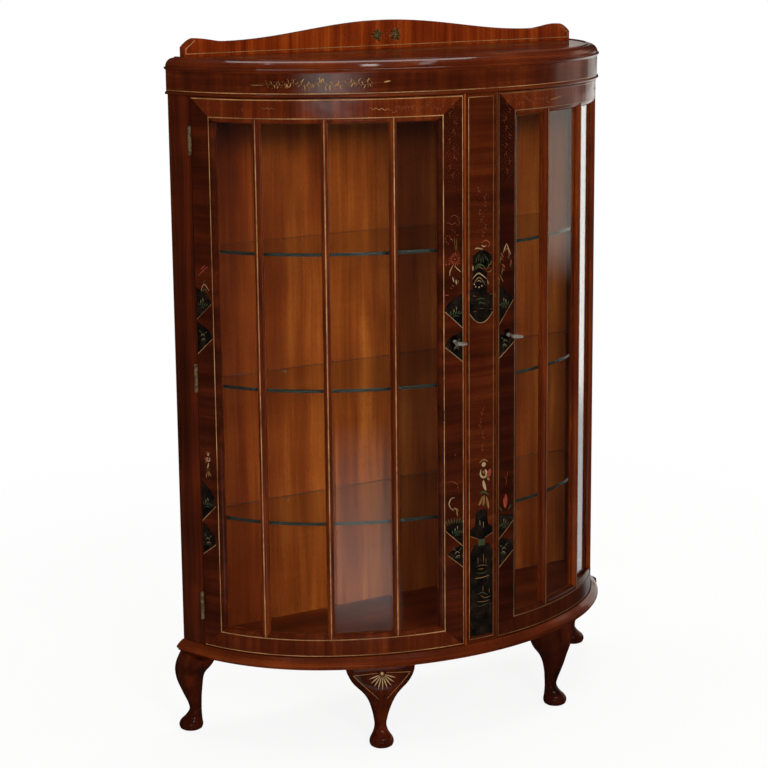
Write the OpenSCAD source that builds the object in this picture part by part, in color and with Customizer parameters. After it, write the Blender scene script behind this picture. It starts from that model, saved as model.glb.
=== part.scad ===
// Bow-fronted china cabinet: a D-plan carcass on four cabriole legs, two glazed
// doors with locks, three glass shelves and a shaped gallery on the top.
// Frame: +Z up, floor at z = 0, the front faces -Y, the back is flat. The origin
// lies on the floor under the middle of the overall box.
// Plan positions use the face angle: the angle of the outward normal, 0 at the
// middle of the bow and positive towards the right-hand side.

/* [Carcass] */
// Half of the carcass width at the back
half_w = 441; // [430:1:450]
// Depth of the carcass from the back to the middle of the bow
depth = 317; // [308:1:326]
// Radius of the middle arc of the bow
front_r = 534; // [520:1:550]
// Face angle at which the tighter side arcs begin
side_from = 31.5; // [31.4:0.1:32.4]
// Height of the flat top above the floor
top_z = 1221; // [1190:1:1260]
// Thickness of the solid frame members and doors
frame_t = 22; // [20:0.5:24]
// Thickness of the back panel
back_t = 12; // [9:1:15]

/* [Plinth and legs] */
// Height of the legs, floor to plinth
leg_h = 149; // [140:1:158]
// Height of the plinth moulding
plinth_h = 19.5; // [18:0.5:21]
// How far the plinth moulding stands out from the face
plinth_out = 15; // [12:0.5:18]
// Face angle of the two front legs
front_leg_at = 21.2; // [18:0.1:24]
// Distance of the back legs' feet from the middle
back_leg_x = 438; // [434:1:442]
// Distance of the back legs' feet in front of the back
back_leg_y = 14; // [12:1:30]

/* [Top] */
// Height of the frieze below the top board
frieze_h = 41; // [38:1:44]
// Thickness of the top board and its moulded edge
top_t = 23; // [21:1:25]
// Height of the gallery's middle hump above the top
gallery_h = 49.5; // [45:0.5:55]
// Thickness of the gallery board
gallery_t = 15.5; // [12:0.5:18]
// Half length of the gallery board
gallery_half = 415; // [405:1:425]

/* [Doors] */
// Width of the fixed panel between the doors, along the face
pilaster_w = 70.8; // [66:0.2:76]
// Width of the door stiles, along the face
stile_w = 40; // [38:0.5:42]
// Width of the two outer panes of a door, along the face
narrow_pane = 88.5; // [86:0.5:90]
// Width of the two inner panes of a door, along the face
wide_pane = 119.4; // [117:0.2:121]
// Height of the doors' bottom rails
rail_h = 32; // [30:1:36]
// Height of the doors' top rails
top_rail_h = 34.5; // [32:0.5:37]
// Gap around the doors
door_gap = 1.5; // [1.2:0.1:2]
// Thickness of the bevelled panes
glass_t = 3; // [2.5:0.5:3]
// Height of the butt hinges
hinge_h = 50; // [44:1:56]
// Distance of the outer hinges above and below the middle one
hinge_span = 418; // [400:1:425]
// Height of the key above the floor
key_z = 728; // [700:1:760]

/* [Shelves] */
// Thickness of the glass shelves
shelf_t = 6; // [5:0.5:8]
// Clear distance from one shelf surface to the next
shelf_pitch = 240; // [236:1:243]
// Height of the upper surface of the bottom shelf
shelf_z = 409; // [400:1:420]
// Gap between the shelf edge and the back of the doors
shelf_back = 10; // [9:0.5:14]

/* [Hidden] */
$fn = 96;
eps = 0.01;

// ---- plan of the bow: a middle arc and a tangent arc on each side ----

// Unit vector of the outward normal at face angle a
function out(a) = [sin(a), -cos(a)];
// Unit vector along the face, towards larger angles
function along(a) = [cos(a), sin(a)];

front_c = [0, front_r - depth];
joint = front_c + front_r * out(side_from);
to_back = [half_w, 0] - joint;
side_r = to_back * to_back / (2 * (to_back * (-out(side_from))));
side_c = joint - side_r * out(side_from);

// Face angle at a distance along the face from the middle
front_arc = front_r * side_from * PI / 180;
function angle_at(s) = s <= front_arc ? s / front_r * 180 / PI
                     : side_from + (s - front_arc) / side_r * 180 / PI;

// Point of the face at angle a >= 0, moved outwards by off
function face(a, off = 0) = a <= side_from ? front_c + (front_r + off) * out(a)
                                           : side_c + (side_r + off) * out(a);

// ---- levels ----

plinth_z = leg_h + plinth_h;
floor_z = plinth_z + 9.5;
door_z0 = plinth_z + door_gap;
door_z1 = top_z - top_t - frieze_h - door_gap;
frieze_z = door_z1 + door_gap;
sight_z0 = door_z0 + rail_h;
sight_z1 = door_z1 - top_rail_h;
ceiling_z = sight_z1 + 13;
door_mid = (door_z0 + door_z1) / 2;
stop_gap = 0.6;                        // between the doors' backs and what they close on
inner_off = -(frame_t + stop_gap);     // front edge of the boards behind the doors
panel_in = 16;                         // from the carcass's sides to the back panel's edges
edge_in = 18;                          // how far the top's moulded edge reaches in

// ---- face angles of the upright members of the right-hand door ----

pilaster_a = angle_at(pilaster_w / 2);
lock_s = pilaster_w / 2 + door_gap;
lock_edge_a = angle_at(lock_s);
lock_sight_s = lock_s + stile_w;
hinge_sight_s = lock_sight_s + 2 * (narrow_pane + wide_pane);
hinge_s = hinge_sight_s + stile_w;
hinge_gap = 1.6;
hinge_edge_a = angle_at(hinge_s);
hinge_a = angle_at(hinge_s + hinge_gap / 2);
post_edge_a = angle_at(hinge_s + hinge_gap);
sight_a = [angle_at(lock_sight_s), angle_at(hinge_sight_s)];
muntin_a = [
    angle_at(lock_sight_s + narrow_pane),
    angle_at(lock_sight_s + narrow_pane + wide_pane),
    angle_at(lock_sight_s + narrow_pane + 2 * wide_pane)
];
key_a = angle_at(lock_s + stile_w / 2);

// ---- door sections ----

lip = 8;              // width of the ovolo on the stiles and rails
lip_step = 1;         // its small step below the face
seat = 8.3;           // depth of the glass seat behind the face
rebate = 1.5;         // from the sight line to the rebate's wall
muntin_flat = 2;      // half width of a muntin's flat front
muntin_half = 6.5;    // half width of a muntin over its mouldings
web = 2;              // half width of the web between two panes
web_d = 20;           // depth of the web
glass_gap = 0.3;      // between the seat and the pane
bevel_w = 9;          // width and depth of the panes' bevelled edge
bevel_d = 0.9;

// ---- hardware ----

pin_out = 3.3;        // hinge pin axis, in front of the face
pin_r = 1.5;
knuckle_r = 3;
pin_fit = 0.05;
leaf_t = 1.2;
leaf_gap = 0.2;       // from the hinge line to a leaf
leaf_d = 17.5;        // how far a leaf goes in behind the knuckle
screw_r = 1.4;
key_r = 2;
key_fit = 0.1;
key_reach = 38;       // bow end in front of the face
bow_r = 10.5;
bolt_x = [-18.5, 9];  // along the face, from the key's axis, drawn back; it shoots 9 mm
bolt_y = [15, 19];    // behind the face
bolt_z = [10, 19];    // above the key
peg_r = 2.5;

// ---- origin: middle of the overall box ----

foot_r = 22;
front_y = (face(key_a) + (key_reach - bow_r) * out(key_a)).y - bow_r;
rear_y = foot_r - back_leg_y;
shift_y = -(front_y + rear_y) / 2;

// ---- helpers ----

// Carries the plan, drawn with the back at y = 0, into the cabinet's frame
module placed() translate([0, shift_y, 0]) children();

// The same thing on the left-hand side
module left() mirror([1, 0, 0]) children();

// Local frame on the face: x along the face, y inwards, z up
module at_face(a, off = 0) translate([face(a, off).x, face(a, off).y, 0]) rotate([0, 0, a]) children();

// One arc of a sweep; the profile's x is the distance outside the arc
module arc_sweep(c, r, a0, a1)
    if (a1 - a0 > eps)
        translate([c.x, c.y, 0]) rotate([0, 0, a0 - 90])
            rotate_extrude(angle = a1 - a0, $fn = 180) translate([r, 0]) children();

// Curved members are built up from a middle and two side lengths, end to end at
// the change of radius with a hairline glue joint
glue_line = 0.02;
side_start = side_from + glue_line / side_r * 180 / PI;

// Sweeps a profile (x: outside the face, y: height) between two face angles >= 0
module sweep(a0, a1) {
    arc_sweep(front_c, front_r, a0, min(a1, side_from)) children();
    arc_sweep(side_c, side_r, max(a0, side_start), a1) children();
}

// Sweeps a profile round the whole bow, cut off at the back plane
module sweep_bow() intersection() {
    union() {
        arc_sweep(front_c, front_r, -side_from, side_from) children();
        arc_sweep(side_c, side_r, side_start, 100) children();
        left() arc_sweep(side_c, side_r, side_start, 100) children();
    }
    translate([-half_w - 60, -depth - 60, -1]) cube([2 * half_w + 120, depth + 60, top_z + 200]);
}

// Outline of a board inside the bow, from the back line y = back to the face
module bow_outline(off, back) intersection() {
    polygon(concat(
        [for (a = [-99 : 3 : -side_from]) [-face(-a, off).x, face(-a, off).y]],
        [for (i = [-10 : 10]) front_c + (front_r + off) * out(i / 10 * side_from)],
        [for (a = [99 : -3 : side_from]) face(99 + side_from - a, off)]
    ));
    translate([-half_w - 50, -depth - 50]) square([2 * half_w + 100, depth + 50 - back]);
}

module slab(z0, z1, off, back) translate([0, 0, z0]) linear_extrude(z1 - z0) bow_outline(off, back);

// The seat for the back panel, cut from the pieces that meet it
module back_seat() translate([-half_w + panel_in - 0.2, -back_t - 0.2, leg_h + 1])
    cube([2 * (half_w - panel_in) + 0.4, back_t + 1, top_z - top_t - leg_h]);

// Quarter-round points from the face (depth d0) to (w, d1), seen in section
function ovolo(w, d0, d1) = [for (t = [0 : 15 : 90]) [w * sin(t), d0 + (d1 - d0) * (1 - cos(t))]];

module box(x, y, z) translate([x[0], y[0], z[0]]) cube([x[1] - x[0], y[1] - y[0], z[1] - z[0]]);

// ---- carcass ----

module back_panel() color("sienna") difference() {
    box([-half_w + panel_in, half_w - panel_in], [-back_t, 0], [leg_h + 1.2, top_z - top_t - 1.2]);
    pegs(0.05);
}

// The side posts stand 2 mm further in than the doors; boards are notched for them
post_t = frame_t + 2;
module post_space(gap) sweep(post_edge_a - gap / side_r * 180 / PI, 95)
    translate([-post_t - gap, plinth_z - gap]) square([post_t + 2 * gap, frieze_z - plinth_z + 2 * gap]);

module side_post() color("saddlebrown") difference() {
    intersection() {
        post_space(0);
        box([0, half_w + 50], [-200, 0], [0, top_z]);
    }
    back_seat();
    hinge_cuts(1);
    pegs(0.05);
}

panel_t = 13.5;
glue = 0.1;
module centre_pilaster() color("sienna") difference() {
    arc_sweep(front_c, front_r, -pilaster_a, pilaster_a)
        translate([-panel_t, plinth_z]) square([panel_t, frieze_z - plinth_z]);
    pilaster_bead_space();
    left() pilaster_bead_space();
}

// Two lengths behind the centre panel; the lock bolts shoot into the slot between them
bolt_fit = 1.2;
slot_z = [key_z + bolt_z[0] - bolt_fit, key_z + bolt_z[1] + bolt_fit];
module pilaster_backing() color("saddlebrown") for (z = [[plinth_z, slot_z[0]], [slot_z[1], frieze_z]])
    arc_sweep(front_c, front_r, -pilaster_a, pilaster_a)
        translate([-frame_t, z[0]]) square([frame_t - panel_t - glue, z[1] - z[0]]);

// Strip behind the centre panel that both doors close on, raised where it is glued
stop_a = angle_at(40);
stop_raised_a = angle_at(33);
stop_t = 8;
module centre_stop() color("saddlebrown") difference() {
    union() {
        arc_sweep(front_c, front_r, -stop_a, stop_a)
            translate([inner_off - stop_t, floor_z]) square([stop_t, ceiling_z - floor_z]);
        arc_sweep(front_c, front_r, -stop_raised_a, stop_raised_a) translate([inner_off - 1, floor_z])
            square([1 + stop_gap - glue, ceiling_z - floor_z]);
    }
    pegs(0.05);
}

bead_r = 1.6;
module pilaster_bead_space() at_face(pilaster_a)
    box([-2 * bead_r, 1], [-4, 2], [plinth_z - 1, frieze_z + 1]);

module pilaster_bead() at_face(pilaster_a) translate([-bead_r, 0, plinth_z]) union() {
    cylinder(r = bead_r, h = frieze_z - plinth_z, $fn = 32);
    box([-bead_r, bead_r], [0, 2], [0, frieze_z - plinth_z]);
}

module pilaster_beads() color("saddlebrown") {
    pilaster_bead();
    left() pilaster_bead();
}

module bottom_board() color("saddlebrown") difference() {
    slab(leg_h, floor_z, inner_off - 0.2, back_t + 0.2);
    post_space(0.2);
    left() post_space(0.2);
}

module ceiling_board() color("saddlebrown") difference() {
    slab(ceiling_z, frieze_z - 0.1, inner_off - 0.2, back_t + 0.2);
    post_space(0.2);
    left() post_space(0.2);
}

// Plinth moulding: a sloped top, a rounded nose and a small step beneath
module plinth_moulding() color("saddlebrown") difference() {
    sweep_bow() union() {
        polygon([[inner_off, leg_h], [plinth_out - 4, leg_h], [plinth_out - 3, leg_h + 3],
            [plinth_out - 0.4, leg_h + 5], [plinth_out - 0.4, leg_h + 9],
            [plinth_out - 5, leg_h + 13.5], [5, leg_h + 17.5], [2.5, plinth_z], [inner_off, plinth_z]]);
        translate([plinth_out - 3.5, leg_h + 7]) circle(r = 3.5, $fn = 32);
    }
    back_seat();
}

module frieze() color("sienna") difference() {
    sweep_bow() translate([-frame_t, frieze_z]) square([frame_t + 2.5, frieze_h]);
    back_seat();
}

module frieze_bead() color("saddlebrown") sweep_bow()
    translate([2.5, frieze_z + 2.6]) intersection() {
        circle(r = 2.6, $fn = 32);
        translate([0, -3]) square([3, 6]);
    }

// The top board's face lies this far below the rim of its moulded edge
field_drop = 1.5;
module top_board() color("sienna") slab(top_z - top_t, top_z - field_drop, -edge_in, 0);

// Moulded edge of the top: lip, quarter round, rounded nose and a hollow beneath
module top_moulding() color("saddlebrown") sweep_bow() polygon(concat(
    [[-edge_in, top_z - top_t], [-edge_in, top_z], [-15, top_z], [-14, top_z - field_drop]],
    [for (t = [0 : 15 : 90]) [-14 + 17 * sin(t), top_z - field_drop - 14.5 * (1 - cos(t))]],
    [for (t = [60 : -30 : -60]) [3.6 + 2.4 * cos(t), top_z - 18.4 + 2.4 * sin(t)]],
    [[3.4, top_z - 21], [2.5, top_z - top_t]]
));

// Height of the gallery's edge above the top at distance x from the middle
dip_x = 328;
ear_x = 392;
function gallery_edge(x) =
    x < dip_x ? 23 + (gallery_h - 23) * (1 + cos(180 * x / dip_x)) / 2
  : x < ear_x ? 23 + 7.2 * (1 - cos(180 * (x - dip_x) / (ear_x - dip_x))) / 2
              : 30.2 - 14.7 * pow((x - ear_x) / (gallery_half - ear_x), 1.6);

// The gallery board stands on the top board's face, inside the moulding's rim
module gallery_board() color("sienna") {
    xs = concat([for (x = [0 : 20.5 : dip_x]) x], [for (x = [dip_x + 8 : 8 : ear_x - 8]) x],
                [for (x = [ear_x : 4.6 : gallery_half + eps]) x]);
    edge = [for (x = xs) [x, gallery_edge(x)]];
    translate([0, 0, top_z]) rotate([90, 0, 0]) linear_extrude(gallery_t)
        polygon(concat([[-gallery_half, -field_drop]],
            [for (i = [len(edge) - 1 : -1 : 1]) [-edge[i].x, edge[i].y]], edge, [[gallery_half, -field_drop]]));
}

// ---- legs: smooth lofts through a few hand-set stations ----

// Height, reach to either side, front and back reach, squareness (2 is round)
front_leg = [
    [0, 17, 17, 17, -17, 2], [2, 20, 20, 20, -20, 2], [9, 22, 22, 22, -22, 2],
    [16, 20, 20, 19, -21, 2], [25, 14, 14, 9, -21, 2], [36, 10.8, 10.8, 1.5, -21, 2],
    [50, 12.5, 12.5, 4.5, -21, 2.1], [62, 15, 15, 9, -21, 2.2], [80, 20.5, 20.5, 14.5, -21.5, 2.6],
    [95, 28, 28, 16.5, -22.5, 3], [106, 37, 37, 17, -23, 3.4], [118, 49, 49, 15.5, -23, 4],
    [130, 57, 57, 13, -23, 5], [141, 61, 61, 11, -23, 6], [149, 62, 62, 10, -23, 6]
];
back_leg = [
    [0, 17, 17, 17, -17, 2], [2, 20, 20, 20, -20, 2], [9, 22, 22, 22, -22, 2],
    [16, 20, 20, 19, -21, 2], [25, 14, 14, 9, -21, 2], [36, 10.8, 10.8, 1.5, -21, 2],
    [50, 12, 12.5, 4.5, -21, 2.1], [62, 13, 15, 10, -21, 2.2], [80, 13.5, 19, 18, -21.5, 2.6],
    [95, 14, 23, 24, -22, 2.8], [106, 14, 29, 26.5, -22, 3], [118, 14, 40, 27.5, -23, 3.2],
    [130, 14, 54, 24, -23, 4], [141, 14, 63, 18, -23, 5], [149, 14, 66, 13, -23, 6]
];

// Smooth value between stations i and i + 1 of column k
function tangent(t, i, k) = i == 0 || i == len(t) - 1 ? 0
    : (t[i + 1][k] - t[i - 1][k]) / (t[i + 1][0] - t[i - 1][0]);
function blend(t, i, k, u) = let (h = t[i + 1][0] - t[i][0], u2 = u * u, u3 = u2 * u)
    (2 * u3 - 3 * u2 + 1) * t[i][k] + (u3 - 2 * u2 + u) * h * tangent(t, i, k)
    + (3 * u2 - 2 * u3) * t[i + 1][k] + (u3 - u2) * h * tangent(t, i + 1, k);

// One ring of a leg: a rounded outline with its own reach on each of four sides
leg_sides = 32;
function rounded(v, n) = sign(v) * pow(abs(v), 2 / n);
function leg_ring(z, back_w, front_w, fore, aft, n) = let (mid = (fore + aft) / 2)
    [for (j = [0 : leg_sides - 1]) let (a = (j + 0.5) * 360 / leg_sides, c = rounded(cos(a), n),
        s = rounded(sin(a), n)) [c * (c > 0 ? back_w : front_w), -mid + s * (fore - aft) / 2, z]];

module leg(t) color("saddlebrown") {
    steps = [for (i = [0 : len(t) - 2], u = [0, 1/3, 2/3]) [i, u]];
    rings = concat(
        [for (s = steps) leg_ring(t[s[0]][0] + s[1] * (t[s[0] + 1][0] - t[s[0]][0]),
            blend(t, s[0], 1, s[1]), blend(t, s[0], 2, s[1]), blend(t, s[0], 3, s[1]),
            blend(t, s[0], 4, s[1]), blend(t, s[0], 5, s[1]))],
        [let (e = t[len(t) - 1]) leg_ring(e[0], e[1], e[2], e[3], e[4], e[5])]
    );
    n = len(rings);
    polyhedron(
        points = [for (r = rings, p = r) p],
        faces = concat(
            [[for (j = [0 : leg_sides - 1]) j]],
            [for (i = [0 : n - 2], j = [0 : leg_sides - 1]) let (k = (j + 1) % leg_sides)
                [i * leg_sides + j, (i + 1) * leg_sides + j, (i + 1) * leg_sides + k, i * leg_sides + k]],
            [[for (j = [leg_sides - 1 : -1 : 0]) (n - 1) * leg_sides + j]]
        )
    );
}

module front_leg() at_face(front_leg_at) leg(front_leg);
module back_leg() translate([back_leg_x, -back_leg_y, 0]) rotate([0, 0, 90]) leg(back_leg);

// ---- shelves ----

shelf_tops = [shelf_z + 2 * shelf_pitch, shelf_z + shelf_pitch, shelf_z];

module shelf(i) color("lightcyan", 0.5)
    slab(shelf_tops[i] - shelf_t, shelf_tops[i], -frame_t - shelf_back, back_t + 1);

// One peg lying along y, let in behind the surface at y = 0
module peg(grow) rotate([90, 0, 0]) translate([0, 0, -6]) cylinder(r = peg_r + grow, h = 18, $fn = 24);

// The pegs of all shelves, each with its top touching the shelf above
module pegs(grow = 0) for (z = shelf_tops) translate([0, 0, z - shelf_t - peg_r]) {
    for (x = [-230, 230]) translate([x, -back_t, 0]) peg(grow);
    for (s = [0, 1]) mirror([s, 0, 0])
        at_face(78.5, -post_t) mirror([0, 1, 0]) peg(grow);
    at_face(0, inner_off - stop_t) mirror([0, 1, 0]) peg(grow);
}

module shelf_pegs() color("goldenrod") pegs();

// ---- door woodwork, right-hand side ----

module stile(s0, s1) sweep(angle_at(s0), angle_at(s1))
    translate([-frame_t, door_z0]) square([frame_t, door_z1 - door_z0]);

// Ovolo on a stile's sight edge; side = 1 towards larger face angles
module stile_lip(a, side) at_face(a) flip_x(side) translate([0, 0, sight_z0 + lip])
    linear_extrude(sight_z1 - sight_z0 - 2 * lip)
        polygon(concat([[-0.3, seat], [-0.3, lip_step]], ovolo(lip, lip_step, seat - 0.8), [[lip, seat]]));

module flip_x(side) mirror([side < 0 ? 1 : 0, 0, 0]) children();

module hinge_stile() color("saddlebrown") {
    difference() {
        stile(hinge_sight_s, hinge_s);
        hinge_cuts(-1);
    }
    stile_lip(sight_a[1], -1);
}

module lock_stile() color("saddlebrown") {
    difference() {
        stile(lock_s, lock_sight_s);
        lock_cuts();
    }
    stile_lip(sight_a[0], 1);
}

// Section of a rail of height h with its ovolo and glass rebate; up = 1 when the glass is above
module rail_section(z, h, up) translate([0, z]) flip_y(up) polygon(concat(
    [[-frame_t, -h], [0, -h], [0, 0]],
    [for (p = ovolo(lip, lip_step, seat - 0.8)) [-p.y, p.x]],
    [[-seat, lip], [-seat, rebate], [-frame_t, rebate]]
));

module flip_y(side) mirror([0, side < 0 ? 1 : 0]) children();

module rail(z, h, up) color("saddlebrown") difference() {
    sweep(sight_a[0], sight_a[1]) rail_section(z, h, up);
    for (a = muntin_a) muntin(a, 0.03);
}

// Right half of a muntin's plan section, from its flat front to the end of its web
muntin_side = concat(
    [[muntin_flat, 0]],
    [for (p = ovolo(muntin_half - muntin_flat, lip_step, seat - 0.8)) [muntin_flat + p.x, p.y]],
    [[muntin_half, seat], [web, seat], [web, web_d]]
);

module muntin(a, longer = 0) at_face(a)
    translate([0, 0, sight_z0 - longer]) linear_extrude(sight_z1 - sight_z0 + 2 * longer)
    polygon(concat(muntin_side,
        [for (i = [len(muntin_side) - 1 : -1 : 0]) [-muntin_side[i].x, muntin_side[i].y]]));

module muntins() color("saddlebrown") for (a = muntin_a) muntin(a);

// ---- panes: flat, bevelled, in order from the lock side ----

// Seat point beside the member at face angle a, dx along the face
function seat_point(a, dx) = face(a) + dx * along(a) - (seat + glass_gap) * out(a);
pane_from = [
    seat_point(sight_a[0], rebate + 0.5), seat_point(muntin_a[0], web + 0.5),
    seat_point(muntin_a[1], web + 0.5), seat_point(muntin_a[2], web + 0.5)
];
pane_to = [
    seat_point(muntin_a[0], -web - 0.5), seat_point(muntin_a[1], -web - 0.5),
    seat_point(muntin_a[2], -web - 0.5), seat_point(sight_a[1], -rebate - 0.5)
];
pane_z = [sight_z0 + rebate + 0.5, sight_z1 - rebate - 0.5];

module on_pane(i) {
    d = pane_to[i] - pane_from[i];
    translate([pane_from[i].x, pane_from[i].y, 0]) rotate([0, 0, atan2(d.y, d.x)]) children();
}

// Section of a pane of width w, bevelled on its outer face
module pane_section(w) polygon([[0, bevel_d], [bevel_w, 0], [w - bevel_w, 0], [w, bevel_d],
    [w, glass_t], [0, glass_t]]);

module pane(i) color("lightcyan", 0.4) on_pane(i) {
    w = norm(pane_to[i] - pane_from[i]);
    h = pane_z[1] - pane_z[0];
    translate([0, 0, pane_z[0]]) intersection() {
        linear_extrude(h) pane_section(w);
        translate([w, 0, 0]) rotate([0, -90, 0]) linear_extrude(w) pane_section(h);
    }
}

// A thin wooden frame that holds each pane in from behind
module glazing_beads() color("saddlebrown") for (i = [0 : 3]) on_pane(i) {
    w = norm(pane_to[i] - pane_from[i]);
    y = [glass_t + 0.1, glass_t + 4.1];
    difference() {
        box([1.8, w - 1.8], y, [pane_z[0], pane_z[1]]);
        box([4.8, w - 4.8], [0, 20], [pane_z[0] + 5, pane_z[1] - 5]);
    }
}

// ---- hinges; side = -1 is the door's half, 1 the frame's half ----

hinge_zs = [for (i = [-1 : 1]) door_mid + i * hinge_span - hinge_h / 2];
knuckle_z = [0, 0.32, 0.68, 1] * hinge_h;
knuckle_gap = 0.15;

module at_hinges() at_face(hinge_a, pin_out) for (z = hinge_zs) translate([0, 0, z]) children();

// One leaf, or with grow its space in the wood, which is open at the face
module leaf_plate(side, grow = 0) {
    x = side < 0 ? [-leaf_gap - leaf_t - grow, -leaf_gap + grow] : [leaf_gap - grow, leaf_gap + leaf_t + grow];
    box(x, [pin_out + (grow > 0 ? -0.5 : 0.1), pin_out + leaf_d + grow], [-grow, hinge_h + grow]);
}

module leaf_tab(side, z0, z1) box(
    side < 0 ? [-leaf_gap - leaf_t, -leaf_gap] : [leaf_gap, leaf_gap + leaf_t], [1, pin_out + 0.2], [z0, z1]);

module screw(side, grow = 0) rotate([0, side * 90, 0]) {
    cylinder(r = screw_r + grow, h = 11 + grow, $fn = 24);
    translate([0, 0, leaf_gap]) cylinder(r1 = 2.6 + grow, r2 = screw_r + grow, h = leaf_t, $fn = 24);
}

module leaf_screws(side, grow = 0) for (z = [0.2, 0.8]) intersection() {
    translate([0, pin_out + 9.5, z * hinge_h]) screw(side, grow);
    box(side < 0 ? [-15, -leaf_gap + grow] : [leaf_gap - grow, 15], [0, 30], [0, hinge_h]);
}

// Space for the leaf and its screws in the wood
module hinge_cuts(side) at_hinges() {
    leaf_plate(side, 0.05);
    leaf_screws(side, 0.05);
}

module door_hinge_leaves() color("goldenrod") at_hinges() difference() {
    union() {
        leaf_plate(-1);
        leaf_tab(-1, knuckle_z[1] + knuckle_gap, knuckle_z[2] - knuckle_gap);
        translate([0, 0, knuckle_z[1] + knuckle_gap])
            cylinder(r = knuckle_r, h = knuckle_z[2] - knuckle_z[1] - 2 * knuckle_gap, $fn = 48);
    }
    translate([0, 0, -1]) cylinder(r = pin_r + pin_fit, h = hinge_h + 2, $fn = 48);
    leaf_screws(-1, 0.03);
}

module frame_hinge_leaves() color("goldenrod") at_hinges() difference() {
    union() {
        leaf_plate(1);
        for (i = [0, 2]) {
            leaf_tab(1, knuckle_z[i], knuckle_z[i + 1]);
            translate([0, 0, knuckle_z[i]])
                cylinder(r = knuckle_r, h = knuckle_z[i + 1] - knuckle_z[i], $fn = 48);
        }
        cylinder(r = pin_r, h = hinge_h, $fn = 48);
    }
    leaf_screws(1, 0.03);
}

module door_hinge_screws() color("darkgoldenrod") at_hinges() leaf_screws(-1);

module frame_hinge_screws() color("darkgoldenrod") {
    at_hinges() leaf_screws(1);
    left() at_hinges() leaf_screws(1);
}

// ---- locks, drawn about the key's axis ----

module at_lock() at_face(key_a) translate([0, 0, key_z]) children();
module along_key(y) translate([0, y, 0]) rotate([-90, 0, 0]) children();

case_x = [-14, 14];
case_y = [12, frame_t];
case_z = [-15, 22];

module bolt_box(grow, x0, x1) box([x0, x1], bolt_y + [-grow, grow], bolt_z + [-grow, grow]);

module lock_cuts() at_lock() {
    box(case_x + [-0.1, 0.1], [case_y[0] - 0.1, frame_t + 2], case_z + [-0.1, 0.1]);
    bolt_box(0.4, -30, 0);
    along_key(-2) cylinder(r = 3.2, h = 16, $fn = 32);
}

module lock_case() color("goldenrod") at_lock() difference() {
    box(case_x, case_y, case_z);
    bolt_box(0.3, -20, bolt_x[1] + 1);
    along_key(13.5) cylinder(r = 8, h = 7, $fn = 48);
    along_key(0) cylinder(r = key_r + key_fit, h = 30, $fn = 48);
}

module lock_bolt() color("goldenrod") at_lock() bolt_box(0, bolt_x[0], bolt_x[1]);

module escutcheon() color("goldenrod") at_lock() difference() {
    along_key(-1.2) linear_extrude(1.2) union() {
        translate([0, -4]) circle(r = 6, $fn = 48);
        translate([0, 4]) circle(r = 6, $fn = 48);
        square([12, 8], center = true);
    }
    along_key(-2) cylinder(r = 3.2, h = 4, $fn = 48);
}

module key() color("gold") at_lock() {
    along_key(-key_reach + 2 * bow_r - 1) cylinder(r = key_r, h = key_reach - 2 * bow_r + 22, $fn = 32);
    along_key(-6) cylinder(r = 3.4, h = 2.5, $fn = 32);
    box([-1.1, 1.1], [14.2, 19.8], [-7, -1]);
    translate([0, -key_reach + bow_r, -1.3]) difference() {
        cylinder(r = bow_r, h = 2.6, $fn = 64);
        translate([0, 0, -1]) cylinder(r = bow_r - 3.2, h = 5, $fn = 64);
    }
}

// A small wire clip over the sight edge of the left-hand door's lock stile
clip_z = [587, 606];
module stile_clip() color("silver") at_face(sight_a[0]) difference() {
    box([-5, 1.5], [-0.8, 0], clip_z);
    box([-6, -0.5], [-1, 1], clip_z + [1.6, -1.6]);
}

// ---- nodes ----

placed() back_panel();
placed() left() side_post();  // left_side_post
placed() side_post();  // right_side_post
placed() centre_pilaster();
placed() pilaster_backing();
placed() centre_stop();
placed() pilaster_beads();
placed() bottom_board();
placed() plinth_moulding();
placed() ceiling_board();
placed() frieze();
placed() frieze_bead();
placed() top_board();
placed() top_moulding();
placed() gallery_board();
placed() left() front_leg();  // front_left_leg
placed() front_leg();  // front_right_leg
placed() left() back_leg();  // back_left_leg
placed() back_leg();  // back_right_leg
placed() shelf(0);  // top_shelf
placed() shelf(1);  // middle_shelf
placed() shelf(2);  // bottom_shelf
placed() shelf_pegs();
placed() left() frame_hinge_leaves();  // left_frame_hinge_leaves
placed() frame_hinge_leaves();  // right_frame_hinge_leaves
placed() frame_hinge_screws();

placed() left() hinge_stile();  // left_hinge_stile
placed() left() lock_stile();  // left_lock_stile
placed() left() rail(sight_z1, top_rail_h, -1);  // left_top_rail
placed() left() rail(sight_z0, rail_h, 1);  // left_bottom_rail
placed() left() muntins();  // left_muntins
placed() left() pane(0);  // left_pane_1
placed() left() pane(1);  // left_pane_2
placed() left() pane(2);  // left_pane_3
placed() left() pane(3);  // left_pane_4
placed() left() glazing_beads();  // left_glazing_beads
placed() left() door_hinge_leaves();  // left_door_hinge_leaves
placed() left() door_hinge_screws();  // left_hinge_screws
placed() left() lock_case();  // left_lock_case
placed() left() lock_bolt();  // left_lock_bolt
placed() left() escutcheon();  // left_escutcheon
placed() left() key();  // left_key
placed() left() stile_clip();

placed() hinge_stile();  // right_hinge_stile
placed() lock_stile();  // right_lock_stile
placed() rail(sight_z1, top_rail_h, -1);  // right_top_rail
placed() rail(sight_z0, rail_h, 1);  // right_bottom_rail
placed() muntins();  // right_muntins
placed() pane(0);  // right_pane_1
placed() pane(1);  // right_pane_2
placed() pane(2);  // right_pane_3
placed() pane(3);  // right_pane_4
placed() glazing_beads();  // right_glazing_beads
placed() door_hinge_leaves();  // right_door_hinge_leaves
placed() door_hinge_screws();  // right_hinge_screws
placed() lock_case();  // right_lock_case
placed() lock_bolt();  // right_lock_bolt
placed() escutcheon();  // right_escutcheon
placed() key();  // right_key
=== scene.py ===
"""Looks for a bow-fronted china cabinet: polished mahogany, light stringing, painted gold
and lacquer decoration, bevelled glass and brass fittings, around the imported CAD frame."""

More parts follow.
